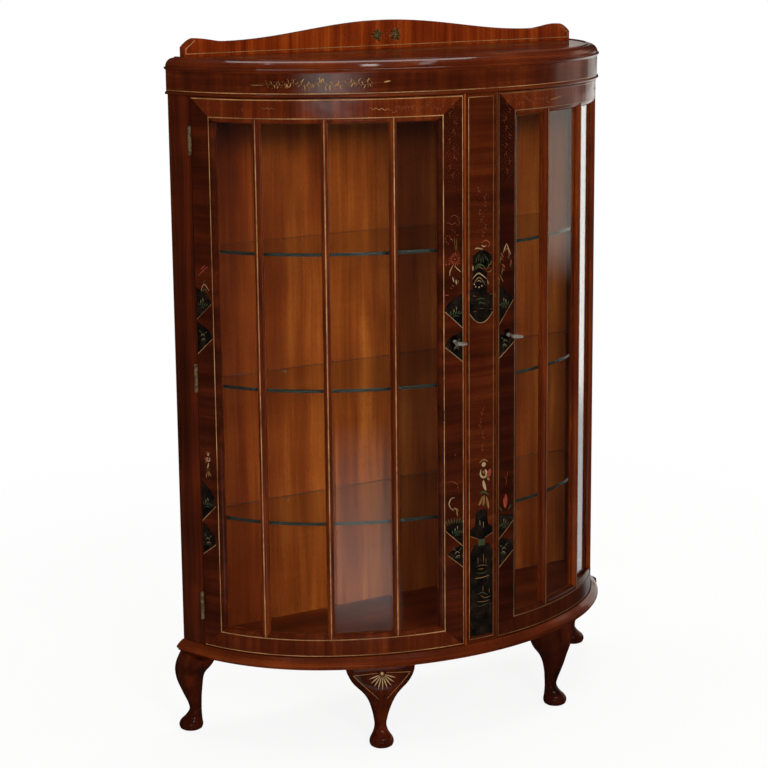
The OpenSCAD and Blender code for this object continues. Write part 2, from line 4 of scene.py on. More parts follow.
from math import acos, cos, hypot, pi, radians, sin

import bmesh
import bpy
from mathutils import Matrix, Vector
from mathutils.bvhtree import BVHTree


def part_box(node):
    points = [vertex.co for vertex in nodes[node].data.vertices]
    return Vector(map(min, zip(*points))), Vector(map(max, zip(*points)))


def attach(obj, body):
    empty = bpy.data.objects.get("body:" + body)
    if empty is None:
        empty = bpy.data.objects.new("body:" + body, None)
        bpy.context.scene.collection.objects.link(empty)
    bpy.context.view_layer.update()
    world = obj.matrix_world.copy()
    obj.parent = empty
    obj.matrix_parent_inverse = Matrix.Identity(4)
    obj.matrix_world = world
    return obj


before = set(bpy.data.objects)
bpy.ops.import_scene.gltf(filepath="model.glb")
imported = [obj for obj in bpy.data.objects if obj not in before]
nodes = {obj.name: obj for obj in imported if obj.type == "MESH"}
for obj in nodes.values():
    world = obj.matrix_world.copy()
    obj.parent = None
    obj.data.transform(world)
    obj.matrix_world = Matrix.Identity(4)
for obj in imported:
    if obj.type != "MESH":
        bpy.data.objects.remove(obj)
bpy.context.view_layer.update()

MM = 0.001

# ---- plan of the bow, as in the CAD: a middle arc and a tangent arc on each side ----

FRONT_R = 0.534
SIDE_FROM = radians(31.5)
DEPTH = 0.317
HALF_W = 0.441
BACK_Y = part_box("back_panel")[1].y

FRONT_C = Vector((0, BACK_Y + FRONT_R - DEPTH))


def out(a):
    """Outward normal at face angle a."""
    return Vector((sin(a), -cos(a)))


def along(a):
    """Direction along the face, towards larger angles."""
    return Vector((cos(a), sin(a)))


JOINT = FRONT_C + FRONT_R * out(SIDE_FROM)
TO_BACK = Vector((HALF_W, BACK_Y)) - JOINT
SIDE_R = TO_BACK.dot(TO_BACK) / (2 * TO_BACK.dot(-out(SIDE_FROM)))
SIDE_C = JOINT - SIDE_R * out(SIDE_FROM)
FRONT_ARC = FRONT_R * SIDE_FROM
FACE_END = FRONT_ARC + SIDE_R * (acos((SIDE_C.y - BACK_Y) / SIDE_R) - SIDE_FROM)


def face_angle(s):
    """Face angle at distance s along the face from the middle of the bow."""
    size = abs(s)
    if size <= FRONT_ARC:
        a = size / FRONT_R
    else:
        a = SIDE_FROM + (size - FRONT_ARC) / SIDE_R
    return a if s >= 0 else -a


def face_point(s, off=0):
    """Plan position at distance s along the face, moved outwards by off."""
    a = abs(face_angle(s))
    if a <= SIDE_FROM:
        p = FRONT_C + (FRONT_R + off) * out(a)
    else:
        p = SIDE_C + (SIDE_R + off) * out(a)
    return Vector((p.x if s >= 0 else -p.x, p.y))


def placed(name, data):
    """A new object in the scene."""
    thing = bpy.data.objects.new(name, data)
    bpy.context.scene.collection.objects.link(thing)
    return thing


# ---- levels and stations along the face, in mm, as in the CAD ----

SIGHT_LOW = 202
SIGHT_HIGH = 1121
DOOR_LOW = 170
DOOR_HIGH = 1155.5
LOCK_EDGE = 36.9
LOCK_SIGHT = 76.9
HINGE_SIGHT = 492.7
HINGE_EDGE = 532.7
MUNTINS = (165.4, 284.8, 404.2)
TOP_Z = 1221
FRIEZE_LOW = 1157
SIDES = (("left", -1), ("right", 1))


# ---- node materials ----


def opaque(colour):
    """A colour with full alpha; a socket stays as it is."""
    return colour if isinstance(colour, bpy.types.NodeSocket) else (*colour, 1)


class Nodes:
    """Nodes being joined up in one tree."""

    def __init__(self, tree):
        self.tree = tree

    def add(self, kind, sockets=None, **props):
        """A new node; sockets gives its inputs, as numbers or as links."""
        n = self.tree.nodes.new(kind)
        for key, value in props.items():
            setattr(n, key, value)
        for key, value in (sockets or {}).items():
            if isinstance(value, bpy.types.NodeSocket):
                self.tree.links.new(value, n.inputs[key])
            else:
                n.inputs[key].default_value = value
        return n

    def node(self, kind, sockets=None, out=0, **props):
        """One output of a new node."""
        return self.add(kind, sockets, **props).outputs[out]

    def math(self, op, a, b=0, c=0):
        return self.node("ShaderNodeMath", {0: a, 1: b, 2: c}, operation=op)

    def plus(self, a, b):
        return self.math("ADD", a, b)

    def minus(self, a, b):
        return self.math("SUBTRACT", a, b)

    def mul(self, a, b):
        return self.math("MULTIPLY", a, b)

    def mul_add(self, a, b, c):
        return self.math("MULTIPLY_ADD", a, b, c)

    def size(self, a):
        return self.math("ABSOLUTE", a)

    def times(self, v, factors):
        """v times a vector, or times one number on all three axes."""
        if isinstance(factors, (int, float)):
            factors = (factors, factors, factors)
        return self.node("ShaderNodeVectorMath", {0: v, 1: factors}, operation="MULTIPLY")

    def split(self, v):
        return tuple(self.add("ShaderNodeSeparateXYZ", {0: v}).outputs)

    def join(self, x, y, z):
        return self.node("ShaderNodeCombineXYZ", {0: x, 1: y, 2: z})

    def noise(self, v, detail=2, rough=0.5):
        sockets = {"Vector": v, "Scale": 1, "Detail": detail, "Roughness": rough}
        return self.node("ShaderNodeTexNoise", sockets)

    def ramp(self, fac, stops, smooth=False):
        n = self.add("ShaderNodeValToRGB", {0: fac})
        ramp = n.color_ramp
        ramp.interpolation = "EASE" if smooth else "LINEAR"
        while len(ramp.elements) < len(stops):
            ramp.elements.new(0.5)
        for element, (at, colour) in zip(ramp.elements, stops):
            element.position = at
            element.color = opaque(colour)
        return n.outputs[0]

    def mix(self, share, a, b):
        """Colour a, giving way to b by share."""
        sockets = {0: share, 6: opaque(a), 7: opaque(b)}
        return self.node("ShaderNodeMix", sockets, out=2, data_type="RGBA")

    def tinted(self, share, colour, factors):
        """A colour that is multiplied by factors where share is 1."""
        return self.mix(share, colour, self.times(colour, factors))

    def blend(self, share, a, b):
        """Shader a, giving way to b by share."""
        return self.node("ShaderNodeMixShader", {0: share, 1: a, 2: b})

    def span(self, value, low, high, to_low=0, to_high=1):
        """value carried from low..high to to_low..to_high, and held there beyond."""
        return self.node("ShaderNodeMapRange", {0: value, 1: low, 2: high, 3: to_low, 4: to_high})

    def bump(self, height, distance, strength, normal=None):
        sockets = {"Height": height, "Distance": distance, "Strength": strength}
        if normal is not None:
            sockets["Normal"] = normal
        return self.node("ShaderNodeBump", sockets)

    def principled(self, **sockets):
        named = {key.replace("_", " "): value for key, value in sockets.items()}
        return self.node("ShaderNodeBsdfPrincipled", named)

    def place(self):
        """Position in the object's own frame, in metres."""
        return self.node("ShaderNodeTexCoord", out="Object")

    def polar(self, x, y):
        """Angle from the y axis, and distance from the centre."""
        distance = self.math("SQRT", self.plus(self.mul(x, x), self.mul(y, y)))
        return self.math("ARCTAN2", x, y), distance

    def face_place(self):
        """(distance along the bow, height, distance outside the face) in metres."""
        x, y, z = self.split(self.place())
        ax = self.size(x)
        a_mid, r_mid = self.polar(ax, self.minus(FRONT_C.y, y))
        a_side, r_side = self.polar(self.minus(ax, SIDE_C.x), self.minus(SIDE_C.y, y))
        on_side = self.math("GREATER_THAN", a_mid, SIDE_FROM)
        s_mid = self.mul(a_mid, FRONT_R)
        s_side = self.plus(self.mul(a_side, SIDE_R), FRONT_ARC - SIDE_FROM * SIDE_R)
        s = self.mul_add(self.minus(s_side, s_mid), on_side, s_mid)
        off_mid = self.minus(r_mid, FRONT_R)
        off_side = self.minus(r_side, SIDE_R)
        off = self.mul_add(self.minus(off_side, off_mid), on_side, off_mid)
        return self.join(self.mul(s, self.math("SIGN", x)), z, off)


class Net(Nodes):
    """The nodes of one new material."""

    def __init__(self, name):
        self.mat = bpy.data.materials.new(name)
        self.mat.use_nodes = True
        super().__init__(self.mat.node_tree)
        self.tree.nodes.clear()

    def finish(self, shader):
        self.add("ShaderNodeOutputMaterial", {0: shader})
        return self.mat

    def surface(self, **sockets):
        """The finished material, with one principled shader."""
        return self.finish(self.principled(**sockets))


# Shares of the fine fibres and of the broad blotches in the tone of any wood
FIBRE = 0.26
BLOTCH = 0.30


def grown(net, g, dark, mid, light, bands=38, figure=0.5, ripple=0.25, shift=0):
    """Colour and pore height of wood; g is (along the grain, across it, into it)."""
    g = net.node("ShaderNodeVectorMath", {0: g, 1: (shift, shift * 0.7, 0)}, operation="ADD")
    sway = net.noise(net.times(g, (4, 9, 9)), detail=1)
    lift = net.mul_add(sway, 0.016, -0.008)
    u, v, w = net.split(g)
    v = net.plus(v, lift)
    h = net.join(u, v, w)
    broad = net.noise(net.times(h, (1.6, bands, bands)), detail=2, rough=0.6)
    fine = net.noise(net.times(h, (6, bands * 11, bands * 11)), detail=2, rough=0.55)
    waves = net.noise(net.times(h, (75, 8, 8)), detail=1)
    blotch = net.noise(net.times(h, (9, 12, 12)), detail=1)
    tone = net.mul(broad, figure)
    tone = net.mul_add(fine, FIBRE, tone)
    tone = net.mul_add(waves, ripple, tone)
    tone = net.mul_add(blotch, BLOTCH, tone)
    tone = net.mul(tone, 1 / (figure + FIBRE + ripple + BLOTCH))
    colour = net.ramp(tone, ((0.34, dark), (0.5, mid), (0.66, light)))
    pores = net.noise(net.times(h, (110, 2300, 2300)), detail=1)
    pores = net.span(pores, 0.60, 0.68)
    colour = net.mix(net.mul(pores, 0.55), colour, tuple(c * 0.25 for c in dark))
    return colour, pores


# Height of the slight waves in the polish, in metres
WAVE = 0.00048


def polish(net, colour, pores, rough=0.32, coat=0.55):
    """French polish over wood: a clear coat with slight waves, dull where handled."""
    p = net.place()
    wavy = net.noise(net.times(p, 28), detail=1)
    hazy = net.noise(net.times(p, 7), detail=3)
    fine = net.noise(net.times(p, 900), detail=1)
    level = net.mul_add(fine, 0.06, net.mul_add(hazy, 0.18, rough - 0.12))
    surface = net.bump(pores, -0.00004, 0.5, net.bump(wavy, WAVE, 0.5))
    coat_surface = net.bump(wavy, WAVE, 0.45)
    return net.surface(
        Base_Color=colour,
        Roughness=level,
        Normal=surface,
        Coat_Weight=coat,
        Coat_Roughness=0.07,
        Coat_Normal=coat_surface,
        Specular_IOR_Level=0.06,
    )


# Mahogany tones, linear
NIGHT = (0.0120, 0.0020, 0.0005)
DEEP = (0.0330, 0.0044, 0.0008)
RED = (0.0800, 0.0110, 0.0014)
FLAME = (0.1600, 0.0280, 0.0036)
AMBER = (0.2600, 0.0620, 0.0085)
DARK = (NIGHT, DEEP, RED)
MIDDLE = (DEEP, RED, FLAME)
PALE = (RED, FLAME, AMBER)
GLOW = ((0.0700, 0.0066, 0.0005), (0.1750, 0.0212, 0.0018), (0.3100, 0.0530, 0.0045))
WHITE = (1, 1, 1)


def toned(share, *tones):
    """The same tones, lighter or darker by share."""
    return tuple(tuple(share * c for c in tone) for tone in tones)


def face_wood(name, upright, tones, right=1, **figure):
    """Wood on the curved front; upright when the grain runs up and down.

    right darkens what lies right of the middle.
    """
    net = Net(name)
    s, z, off = net.split(net.face_place())
    g = net.join(z, s, off) if upright else net.join(s, z, off)
    colour, pores = grown(net, g, *tones, **figure)
    if right != 1:
        colour = net.tinted(net.span(s, -0.01, 0.01), colour, right)
    return polish(net, colour, pores)


def flat_wood(name, order, tones, rough=0.32, coat=0.55, **figure):
    """Wood with straight axes; order gives which of x, y, z runs along, across and in."""
    net = Net(name)
    axes = net.split(net.place())
    g = net.join(*(axes["xyz".index(k)] for k in order))
    colour, pores = grown(net, g, *tones, **figure)
    return polish(net, colour, pores, rough=rough, coat=coat)


def back_veneer():
    """Veneer of the back panel, with painted light and shade: broad lighter and darker bands across
    it, and a painted shadow under the ceiling.
    """
    net = Net("inside_mahogany")
    x, y, z = net.split(net.place())
    tones = toned(1.85, *PALE)
    colour, pores = grown(net, net.join(z, x, y), *tones, bands=22, ripple=0.05, figure=0.9)
    # painted light and shade: broad lighter and darker bands across the back panel
    leaves = net.ramp(
        net.span(x, -0.42, 0.42),
        (
            (0.13, (0.39, 0.33, 0.28)),
            (0.24, (0.52, 0.55, 0.55)),
            (0.42, (0.76, 0.95, 0.95)),
            (0.57, (0.49, 0.53, 0.58)),
            (0.83, (0.48, 0.45, 0.42)),
            (0.93, (0.69, 0.86, 0.92)),
        ),
        smooth=True,
    )
    # painted shadow: darker towards the top, under the ceiling board
    near_ceiling = net.span(z, 1.025, 1.09)
    shadow = net.ramp(near_ceiling, ((0, WHITE), (1, (0.38, 0.40, 0.50))), smooth=True)
    return polish(net, net.times(net.times(colour, leaves), shadow), pores, rough=0.42, coat=0.25)


def door_veneer():
    """Cross-banded veneer on the door frames, mitred from each sight corner outwards."""
    net = Net("door_veneer")
    s, z, off = net.split(net.face_place())
    size = net.size(s)
    from_lock = net.minus(LOCK_SIGHT * MM, size)
    from_hinge = net.minus(size, HINGE_SIGHT * MM)
    aside = net.math("MAXIMUM", from_lock, from_hinge)
    above = net.minus(z, SIGHT_HIGH * MM)
    below = net.minus(SIGHT_LOW * MM, z)
    beyond = net.math("MAXIMUM", above, below)
    slope = (LOCK_SIGHT - LOCK_EDGE) / (DOOR_HIGH - SIGHT_HIGH)
    rail = net.math("GREATER_THAN", net.mul(beyond, slope), aside)
    upright = net.join(z, s, off)
    level = net.join(s, z, off)
    on_rail, rail_pores = grown(net, upright, *MIDDLE, bands=70, ripple=0.1)
    on_stile, stile_pores = grown(net, level, *DARK, bands=46, ripple=0.05, shift=0.4)
    # painted shade darkens the lower rails; the right door is darker as well
    low_rail_shade = net.math("GREATER_THAN", below, -0.01)
    on_rail = net.tinted(net.mul(low_rail_shade, 0.75), on_rail, 0.7)
    on_stile = net.tinted(net.span(s, -0.03, 0.03), on_stile, (0.62, 0.58, 0.55))
    on_rail = net.tinted(net.mul(low_rail_shade, net.span(s, 0, 0.1)), on_rail, 0.5)
    colour = net.mix(rail, on_stile, on_rail)
    pores = net.math("MAXIMUM", rail_pores, stile_pores)
    return polish(net, colour, pores)


def glass(name, tint, edge=None):
    """Clear plate glass; lamps shine straight through it. edge tints faces seen side on."""
    net = Net(name)
    ripple = net.noise(net.times(net.place(), (7, 7, 4)), detail=0)
    clear = net.principled(
        Base_Color=(*tint, 1),
        Roughness=0,
        IOR=1.5,
        Transmission_Weight=1,
        Normal=net.bump(ripple, 0.0003, 0.12),
    )
    if edge is not None:
        normal = net.node("ShaderNodeNewGeometry", out="Normal")
        level = net.size(net.split(normal)[2])
        side = net.math("LESS_THAN", level, 0.5)
        cloud = net.noise(net.times(net.place(), (60, 60, 200)), detail=2)
        shade = net.mix(cloud, edge, tuple(c * 0.6 for c in edge))
        body = net.principled(Base_Color=shade, Roughness=0.25, IOR=1.5, Transmission_Weight=0.25)
        clear = net.blend(side, clear, body)
    in_shadow = net.node("ShaderNodeLightPath", out="Is Shadow Ray")
    through = net.node("ShaderNodeBsdfTransparent", {"Color": (*tint, 1)})
    return net.finish(net.blend(in_shadow, clear, through))


def metal(name, bright, dull, rough, metallic=1):
    """Polished metal with a thin tarnish in patches and fine rubbing marks."""
    net = Net(name)
    p = net.place()
    patch = net.span(net.noise(net.times(p, 160), detail=4), 0.42, 0.62)
    marks = net.noise(net.times(p, (900, 2600, 900)), detail=2)
    colour = net.mix(patch, bright, dull)
    level = net.mul_add(patch, 0.18, net.mul_add(marks, 0.12, rough))
    rubbed = net.bump(marks, 0.00002, 0.5)
    return net.surface(Base_Color=colour, Metallic=metallic, Roughness=level, Normal=rubbed)


def paint(name, colour, worn, rough=0.4, metallic=0, coat=0):
    """Brushed-on paint or gold, rubbed through to what is below in small patches."""
    net = Net(name)
    p = net.place()
    grain = net.noise(net.times(p, 700), detail=3)
    patch = net.noise(net.times(p, 120), detail=3)
    bare = net.mul(net.span(patch, 0.50, 0.72), 0.7)
    tone = net.mix(bare, colour, worn)
    tone = net.mix(net.span(grain, 0.3, 0.7, 0, 0.35), tone, tuple(c * 0.45 for c in colour))
    return net.surface(
        Base_Color=tone,
        Metallic=metallic,
        Roughness=net.mul_add(grain, 0.2, rough),
        Normal=net.bump(grain, 0.00006, 0.6),
        Coat_Weight=coat,
        Coat_Roughness=0.08,
    )


def lacquer():
    """Old black lacquer: deep gloss, faint brown mottling and fine crazing."""
    net = Net("black_lacquer")
    p = net.place()
    mottle = net.noise(net.times(p, 60), detail=4)
    colour = net.ramp(mottle, ((0.35, (0.002, 0.0015, 0.001)), (0.7, (0.012, 0.006, 0.003))))
    cells = {"Vector": net.times(p, 170), "Scale": 1}
    craze = net.node("ShaderNodeTexVoronoi", cells, feature="DISTANCE_TO_EDGE")
    cracks = net.span(craze, 0, 0.05)
    return net.surface(
        Base_Color=colour,
        Roughness=net.mul_add(mottle, 0.2, 0.15),
        Normal=net.bump(cracks, 0.00003, 0.35),
        Coat_Weight=0.5,
        Coat_Roughness=0.07,
    )


BOXWOOD = ((0.12, 0.050, 0.014), (0.27, 0.125, 0.042), (0.42, 0.235, 0.090))


def stringing(name, share=1):
    """Boxwood inlay, yellowed and darker in places, level with the polish."""
    net = Net(name)
    p = net.place()
    drift = net.noise(net.times(p, 14), detail=3)
    fine = net.noise(net.times(p, (420, 420, 120)), detail=2)
    tone = net.mul_add(fine, 0.35, net.mul(drift, 0.65))
    old, middling, fresh = toned(share, *BOXWOOD)
    colour = net.ramp(tone, ((0.36, old), (0.5, middling), (0.64, fresh)))
    return net.surface(
        Base_Color=colour,
        Roughness=net.mul_add(fine, 0.12, 0.28),
        Normal=net.bump(fine, 0.00003, 0.4),
        Coat_Weight=0.4,
        Coat_Roughness=0.08,
    )


WOOD = {
    "door": door_veneer(),
    "pilaster": face_wood("pilaster_veneer", False, toned(0.58, *MIDDLE), bands=62, ripple=0.05),
    "frieze": face_wood(
        "frieze_veneer", False, toned(0.75, *MIDDLE), bands=20, figure=0.3, ripple=0.3
    ),
    "post": face_wood("post_mahogany", True, toned(1.35, *DARK), bands=55, ripple=0.05, shift=0.9),
    "moulding": face_wood("moulding_mahogany", False, MIDDLE, bands=60, ripple=0.1, shift=0.2),
    # the beads' pale tones are painted light, toned down on the bead right of the middle
    "beads": face_wood("bead_mahogany_painted_light", True, PALE, right=0.4, bands=80, ripple=0.05, shift=0.3),
    "muntin": face_wood("muntin_mahogany", True, MIDDLE, bands=90, ripple=0.05, shift=0.5),
    "gallery": flat_wood("gallery_veneer", "zxy", GLOW, bands=60, ripple=0.02, figure=0.6),
    "top": flat_wood("top_veneer", "xyz", MIDDLE, bands=30, ripple=0.3),
    "leg": flat_wood("leg_mahogany", "zxy", toned(0.9, *DARK), bands=48, ripple=0.2),
    "inside": back_veneer(),
    "floor": flat_wood(
        "cabinet_floor_mahogany", "xyz", MIDDLE, rough=0.45, coat=0.2, bands=28, ripple=0.15
    ),
}
PANE_GLASS = glass("bevelled_glass", (0.97, 0.98, 0.97))
SHELF_GLASS = glass("shelf_glass", (0.94, 0.97, 0.95), edge=(0.024, 0.032, 0.024))
BRASS = metal("aged_brass", (0.34, 0.22, 0.12), (0.12, 0.070, 0.036), 0.30, metallic=0.7)
DARK_BRASS = metal("dark_brass", (0.10, 0.055, 0.022), (0.03, 0.016, 0.008), 0.35)
NICKEL = metal("bright_key_metal", (0.62, 0.58, 0.50), (0.30, 0.26, 0.20), 0.22, metallic=0.75)
STEEL = metal("clip_steel", (0.55, 0.53, 0.50), (0.12, 0.10, 0.09), 0.30)
PAINT = {
    "bright": paint("bright_gold_paint", (0.50, 0.27, 0.085), (0.24, 0.10, 0.03), metallic=0.3),
    "gold": paint("gold_paint", (0.25, 0.125, 0.032), (0.10, 0.035, 0.008), metallic=0.3),
    "faint": paint("rubbed_gold_paint", (0.17, 0.042, 0.010), (0.08, 0.014, 0.003), metallic=0.1),
    "pale": paint("cream_paint", (0.30, 0.20, 0.095), (0.14, 0.07, 0.025), rough=0.45),
    "red": paint("red_paint", (0.22, 0.022, 0.008), (0.09, 0.010, 0.003), coat=0.2),
    "green": paint(
        "green_paint", (0.032, 0.046, 0.012), (0.014, 0.015, 0.005), rough=0.42, coat=0.2
    ),
    "coral": paint("coral_paint", (0.30, 0.048, 0.016), (0.14, 0.018, 0.006)),
    "shade": paint("brown_shadow_paint", (0.020, 0.0075, 0.0025), (0.035, 0.006, 0.0015), coat=0.3),
    "fan": paint("ivory_inlay", (0.34, 0.22, 0.10), (0.18, 0.09, 0.035), rough=0.3, coat=0.4),
    "black": lacquer(),
    "string": stringing("light_stringing"),
    # the darker stringing is painted shade, used on the right-hand side
    "dull": stringing("stringing_painted_shade", 0.42),
}


def wear(material, *names):
    """Gives CAD nodes one material in every slot."""
    for n in names:
        for slot in nodes[n].material_slots:
            slot.material = material


wear(WOOD["inside"], "back_panel")
wear(WOOD["floor"], "bottom_board", "ceiling_board")
wear(WOOD["post"], "left_side_post", "right_side_post", "pilaster_backing", "centre_stop")
wear(WOOD["pilaster"], "centre_pilaster")
wear(WOOD["beads"], "pilaster_beads")
wear(WOOD["moulding"], "plinth_moulding", "frieze_bead", "top_moulding")
wear(WOOD["frieze"], "frieze")
wear(WOOD["top"], "top_board")
wear(WOOD["gallery"], "gallery_board")
FITTINGS = ("frame_hinge_leaves", "door_hinge_leaves", "hinge_screws", "lock_case", "lock_bolt")
LEGS = ("front_left_leg", "front_right_leg", "back_left_leg", "back_right_leg")
wear(WOOD["leg"], *LEGS)
wear(SHELF_GLASS, "top_shelf", "middle_shelf", "bottom_shelf")
wear(BRASS, "shelf_pegs", "frame_hinge_screws")
for side, _ in SIDES:
    for member in ("hinge_stile", "lock_stile", "top_rail", "bottom_rail"):
        wear(WOOD["door"], f"{side}_{member}")
    wear(WOOD["muntin"], f"{side}_muntins", f"{side}_glazing_beads")
    wear(PANE_GLASS, *(f"{side}_pane_{i}" for i in range(1, 5)))
    for fitting in FITTINGS:
        wear(BRASS, f"{side}_{fitting}")
    wear(DARK_BRASS, f"{side}_escutcheon")
    wear(NICKEL, f"{side}_key")
wear(STEEL, "stile_clip")


# Vertices closer than this are joined before shading, in metres
WELD = 0.00001


def soften(names, angle):
    """Shades curved surfaces smoothly and keeps edges sharper than angle."""
    tree = bpy.data.node_groups.new("soften", "GeometryNodeTree")
    tree.interface.new_socket("Geometry", in_out="INPUT", socket_type="NodeSocketGeometry")
    tree.interface.new_socket("Geometry", in_out="OUTPUT", socket_type="NodeSocketGeometry")
    net = Nodes(tree)
    shape = net.node("NodeGroupInput")
    shape = net.node("GeometryNodeRemoveAttribute", {"Geometry": shape, "Name": "custom_normal"})
    shape = net.node("GeometryNodeMergeByDistance", {"Geometry": shape, "Distance": WELD})
    shape = net.node("GeometryNodeSetShadeSmooth", {"Geometry": shape}, domain="FACE")
    bend = net.node("GeometryNodeInputMeshEdgeAngle")
    sharp = net.math("GREATER_THAN", bend, angle)
    crease = {"Geometry": shape, "Selection": sharp, "Shade Smooth": False}
    shape = net.node("GeometryNodeSetShadeSmooth", crease, domain="EDGE")
    net.add("NodeGroupOutput", {0: shape})
    for n in names:
        nodes[n].modifiers.new("soften", "NODES").node_group = tree


soften(LEGS, radians(40))


# ---- where decoration lies: each place maps (u, v) in mm to a point and a normal ----


def tree_of(names):
    """One search tree over the meshes of several CAD nodes."""
    verts, faces = [], []
    for n in names:
        mesh = nodes[n].data
        base = len(verts)
        verts += [v.co.copy() for v in mesh.vertices]
        faces += [[base + i for i in p.vertices] for p in mesh.polygons]
    return BVHTree.FromPolygons(verts, faces)


def cast(tree, start, direction, fallback):
    """Where a ray first meets the surface, with its outward normal."""
    point, normal, _, _ = tree.ray_cast(start, direction)
    if point is None:
        return fallback
    return point, (-normal if normal.dot(direction) > 0 else normal)


FRONT_ENDINGS = ("stile", "rail", "muntins", "side_post", "centre_pilaster", "frieze")
FRONT_NODES = [n for n in nodes if n.endswith(FRONT_ENDINGS)]
FRONT_TREE = tree_of(FRONT_NODES)


# Rays towards the front start this far outside it, in metres
CLEAR = 0.02


def on_front(s, z):
    """A place on the curved front, s along the face and z up, in mm."""
    normal = out(face_angle(s * MM)).to_3d()
    start = Vector((*face_point(s * MM, CLEAR), z * MM))
    flat = Vector((*face_point(s * MM), z * MM))
    return cast(FRONT_TREE, start, -normal, (flat, normal))


GALLERY_TREE = tree_of(["gallery_board"])
GALLERY_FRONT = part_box("gallery_board")[0].y


def on_gallery(x, z):
    """A place on the front of the gallery board."""
    flat = Vector((x * MM, GALLERY_FRONT, z * MM))
    normal = Vector((0, -1, 0))
    return cast(GALLERY_TREE, flat + normal * CLEAR, -normal, (flat, normal))


LEG_TREE = tree_of(["front_left_leg"])
LEG_ANGLE = radians(-21.2)
LEG_MIDDLE = face_point(LEG_ANGLE * FRONT_R)
LEG_OUT = out(LEG_ANGLE).to_3d()
LEG_ACROSS = along(LEG_ANGLE).to_3d()


def on_leg(u, v):
    """A place on the front of the left front knee, u across the leg and v up, in mm."""
    flat = Vector((*LEG_MIDDLE, v * MM)) + LEG_ACROSS * (u * MM)
    return cast(LEG_TREE, flat + 3 * CLEAR * LEG_OUT, -LEG_OUT, (flat, LEG_OUT))


# The rims of marks lie this far below the surface, in mm
SUNK = -0.12


def spread(low, high, count):
    """Numbers from low to high, both included, in count equal steps."""
    return [low + (high - low) * i / count for i in range(count + 1)]


def steps(a, b, count):
    """Points from a to b, both included, in count equal steps."""
    return list(zip(spread(a[0], b[0], count), spread(a[1], b[1], count)))


class Brush:
    """Thin raised marks on one surface, gathered into one mesh for each colour."""

    def __init__(self, name, body, place, mirror=1):
        self.name = name
        self.body = body
        self.place = place
        self.mirror = mirror
        self.meshes = {}

    def vertex(self, mesh, u, v, height):
        point, normal = self.place(u * self.mirror, v)
        return mesh.verts.new(point + normal * (height * MM))

    def mesh(self, colour):
        if colour not in self.meshes:
            self.meshes[colour] = bmesh.new()
        return self.meshes[colour]

    def stroke(self, colour, path, width, height=0.3, taper="both"):
        """A brush stroke along a path; width swells in the middle when it tapers."""
        mesh = self.mesh(colour)
        rings = []
        last = len(path) - 1
        for i, (u, v) in enumerate(path):
            u0, v0 = path[max(i - 1, 0)]
            u1, v1 = path[min(i + 1, last)]
            length = hypot(u1 - u0, v1 - v0) or 1
            across = (-(v1 - v0) / length, (u1 - u0) / length)
            t = i / last
            swell = {"both": sin(pi * t) ** 0.7, "end": (1 - t) ** 0.8, "none": 1}[taper]
            half = max(width * swell, 0.12 * width) / 2
            rise = height * (0.3 + 0.7 * min(swell, 1))
            section = ((-1, SUNK), (-0.7, 0.8 * rise), (0, rise), (0.7, 0.8 * rise), (1, SUNK))
            ring = []
            for k, h in section:
                at_u, at_v = u + k * half * across[0], v + k * half * across[1]
                ring.append(self.vertex(mesh, at_u, at_v, h))
            rings.append(ring)
        self.loft(mesh, rings)

    def loft(self, mesh, rings):
        """Closes a tube round the rings and caps both ends."""
        for a, b in zip(rings, rings[1:]):
            for j in range(len(a)):
                k = (j + 1) % len(a)
                mesh.faces.new((a[j], a[k], b[k], b[j]))
        mesh.faces.new(list(reversed(rings[0])))
        mesh.faces.new(rings[-1])

    def line(self, colour, path, width, step=6):
        """An inlaid strip of even width through the corners of a path."""
        dense = [path[0]]
        for (u0, v0), (u1, v1) in zip(path, path[1:]):
            count = max(1, round(hypot(u1 - u0, v1 - v0) / step))
            dense += steps((u0, v0), (u1, v1), count)[1:]
        self.stroke(colour, dense, width, height=0.12, taper="none")

    def leaf(self, colour, u, v, angle, length, width, bend=0, height=0.35):
        """A pointed leaf or petal from (u, v), bending sideways by bend."""
        path = []
        for t in spread(0, 1, 6):
            a = angle + bend * t
            path.append((u + length * t * cos(a), v + length * t * sin(a)))
        self.stroke(colour, path, width, height)

    def dot(self, colour, u, v, r):
        """A small round dab."""
        mesh = self.mesh(colour)
        sides = 9
        height = 0.35
        turns = [2 * pi * j / sides for j in range(sides)]
        rings = []
        for share, level in ((1, SUNK), (0.75, 0.7 * height), (0.3, height)):
            rim = [(u + share * r * cos(a), v + share * r * sin(a)) for a in turns]
            rings.append([self.vertex(mesh, *at, level) for at in rim])
        self.loft(mesh, rings)

    def area(self, colour, low, high, stations, height=0.15):
        """A filled patch between the curves low(u) and high(u) over the stations."""
        mesh = self.mesh(colour)
        rings = []
        for u in stations:
            bottom = low(u)
            top = max(high(u), bottom + 0.3)
            section = ((bottom - 0.1, SUNK), (bottom, height), (top, height), (top + 0.1, SUNK))
            rings.append([self.vertex(mesh, u, v, h) for v, h in section])
        self.loft(mesh, rings)

    def curl(self, colour, u, v, angle, size, turn, width):
        """A spiral tendril that starts at (u, v) in the direction angle."""
        path = []
        count = 16
        x, y, a = u, v, angle
        for t in spread(0, 1, count):
            path.append((x, y))
            stride = size * (1.15 - t) / count * 2.2
            x += stride * cos(a)
            y += stride * sin(a)
            a += turn * (0.16 + 0.5 * t)
        self.stroke(colour, path, width, taper="end")

    def finish(self):
        """Makes the objects, which ride on the brush's body."""
        for colour, mesh in self.meshes.items():
            bmesh.ops.recalc_face_normals(mesh, faces=mesh.faces)
            data = bpy.data.meshes.new(f"{self.name}_{colour}")
            mesh.to_mesh(data)
            mesh.free()
            for polygon in data.polygons:
                polygon.use_smooth = True
            data.set_sharp_from_angle(angle=radians(50))
            data.materials.append(PAINT[colour])
            thing = placed(data.name, data)
            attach(thing, self.body)


# ---- light stringing ----


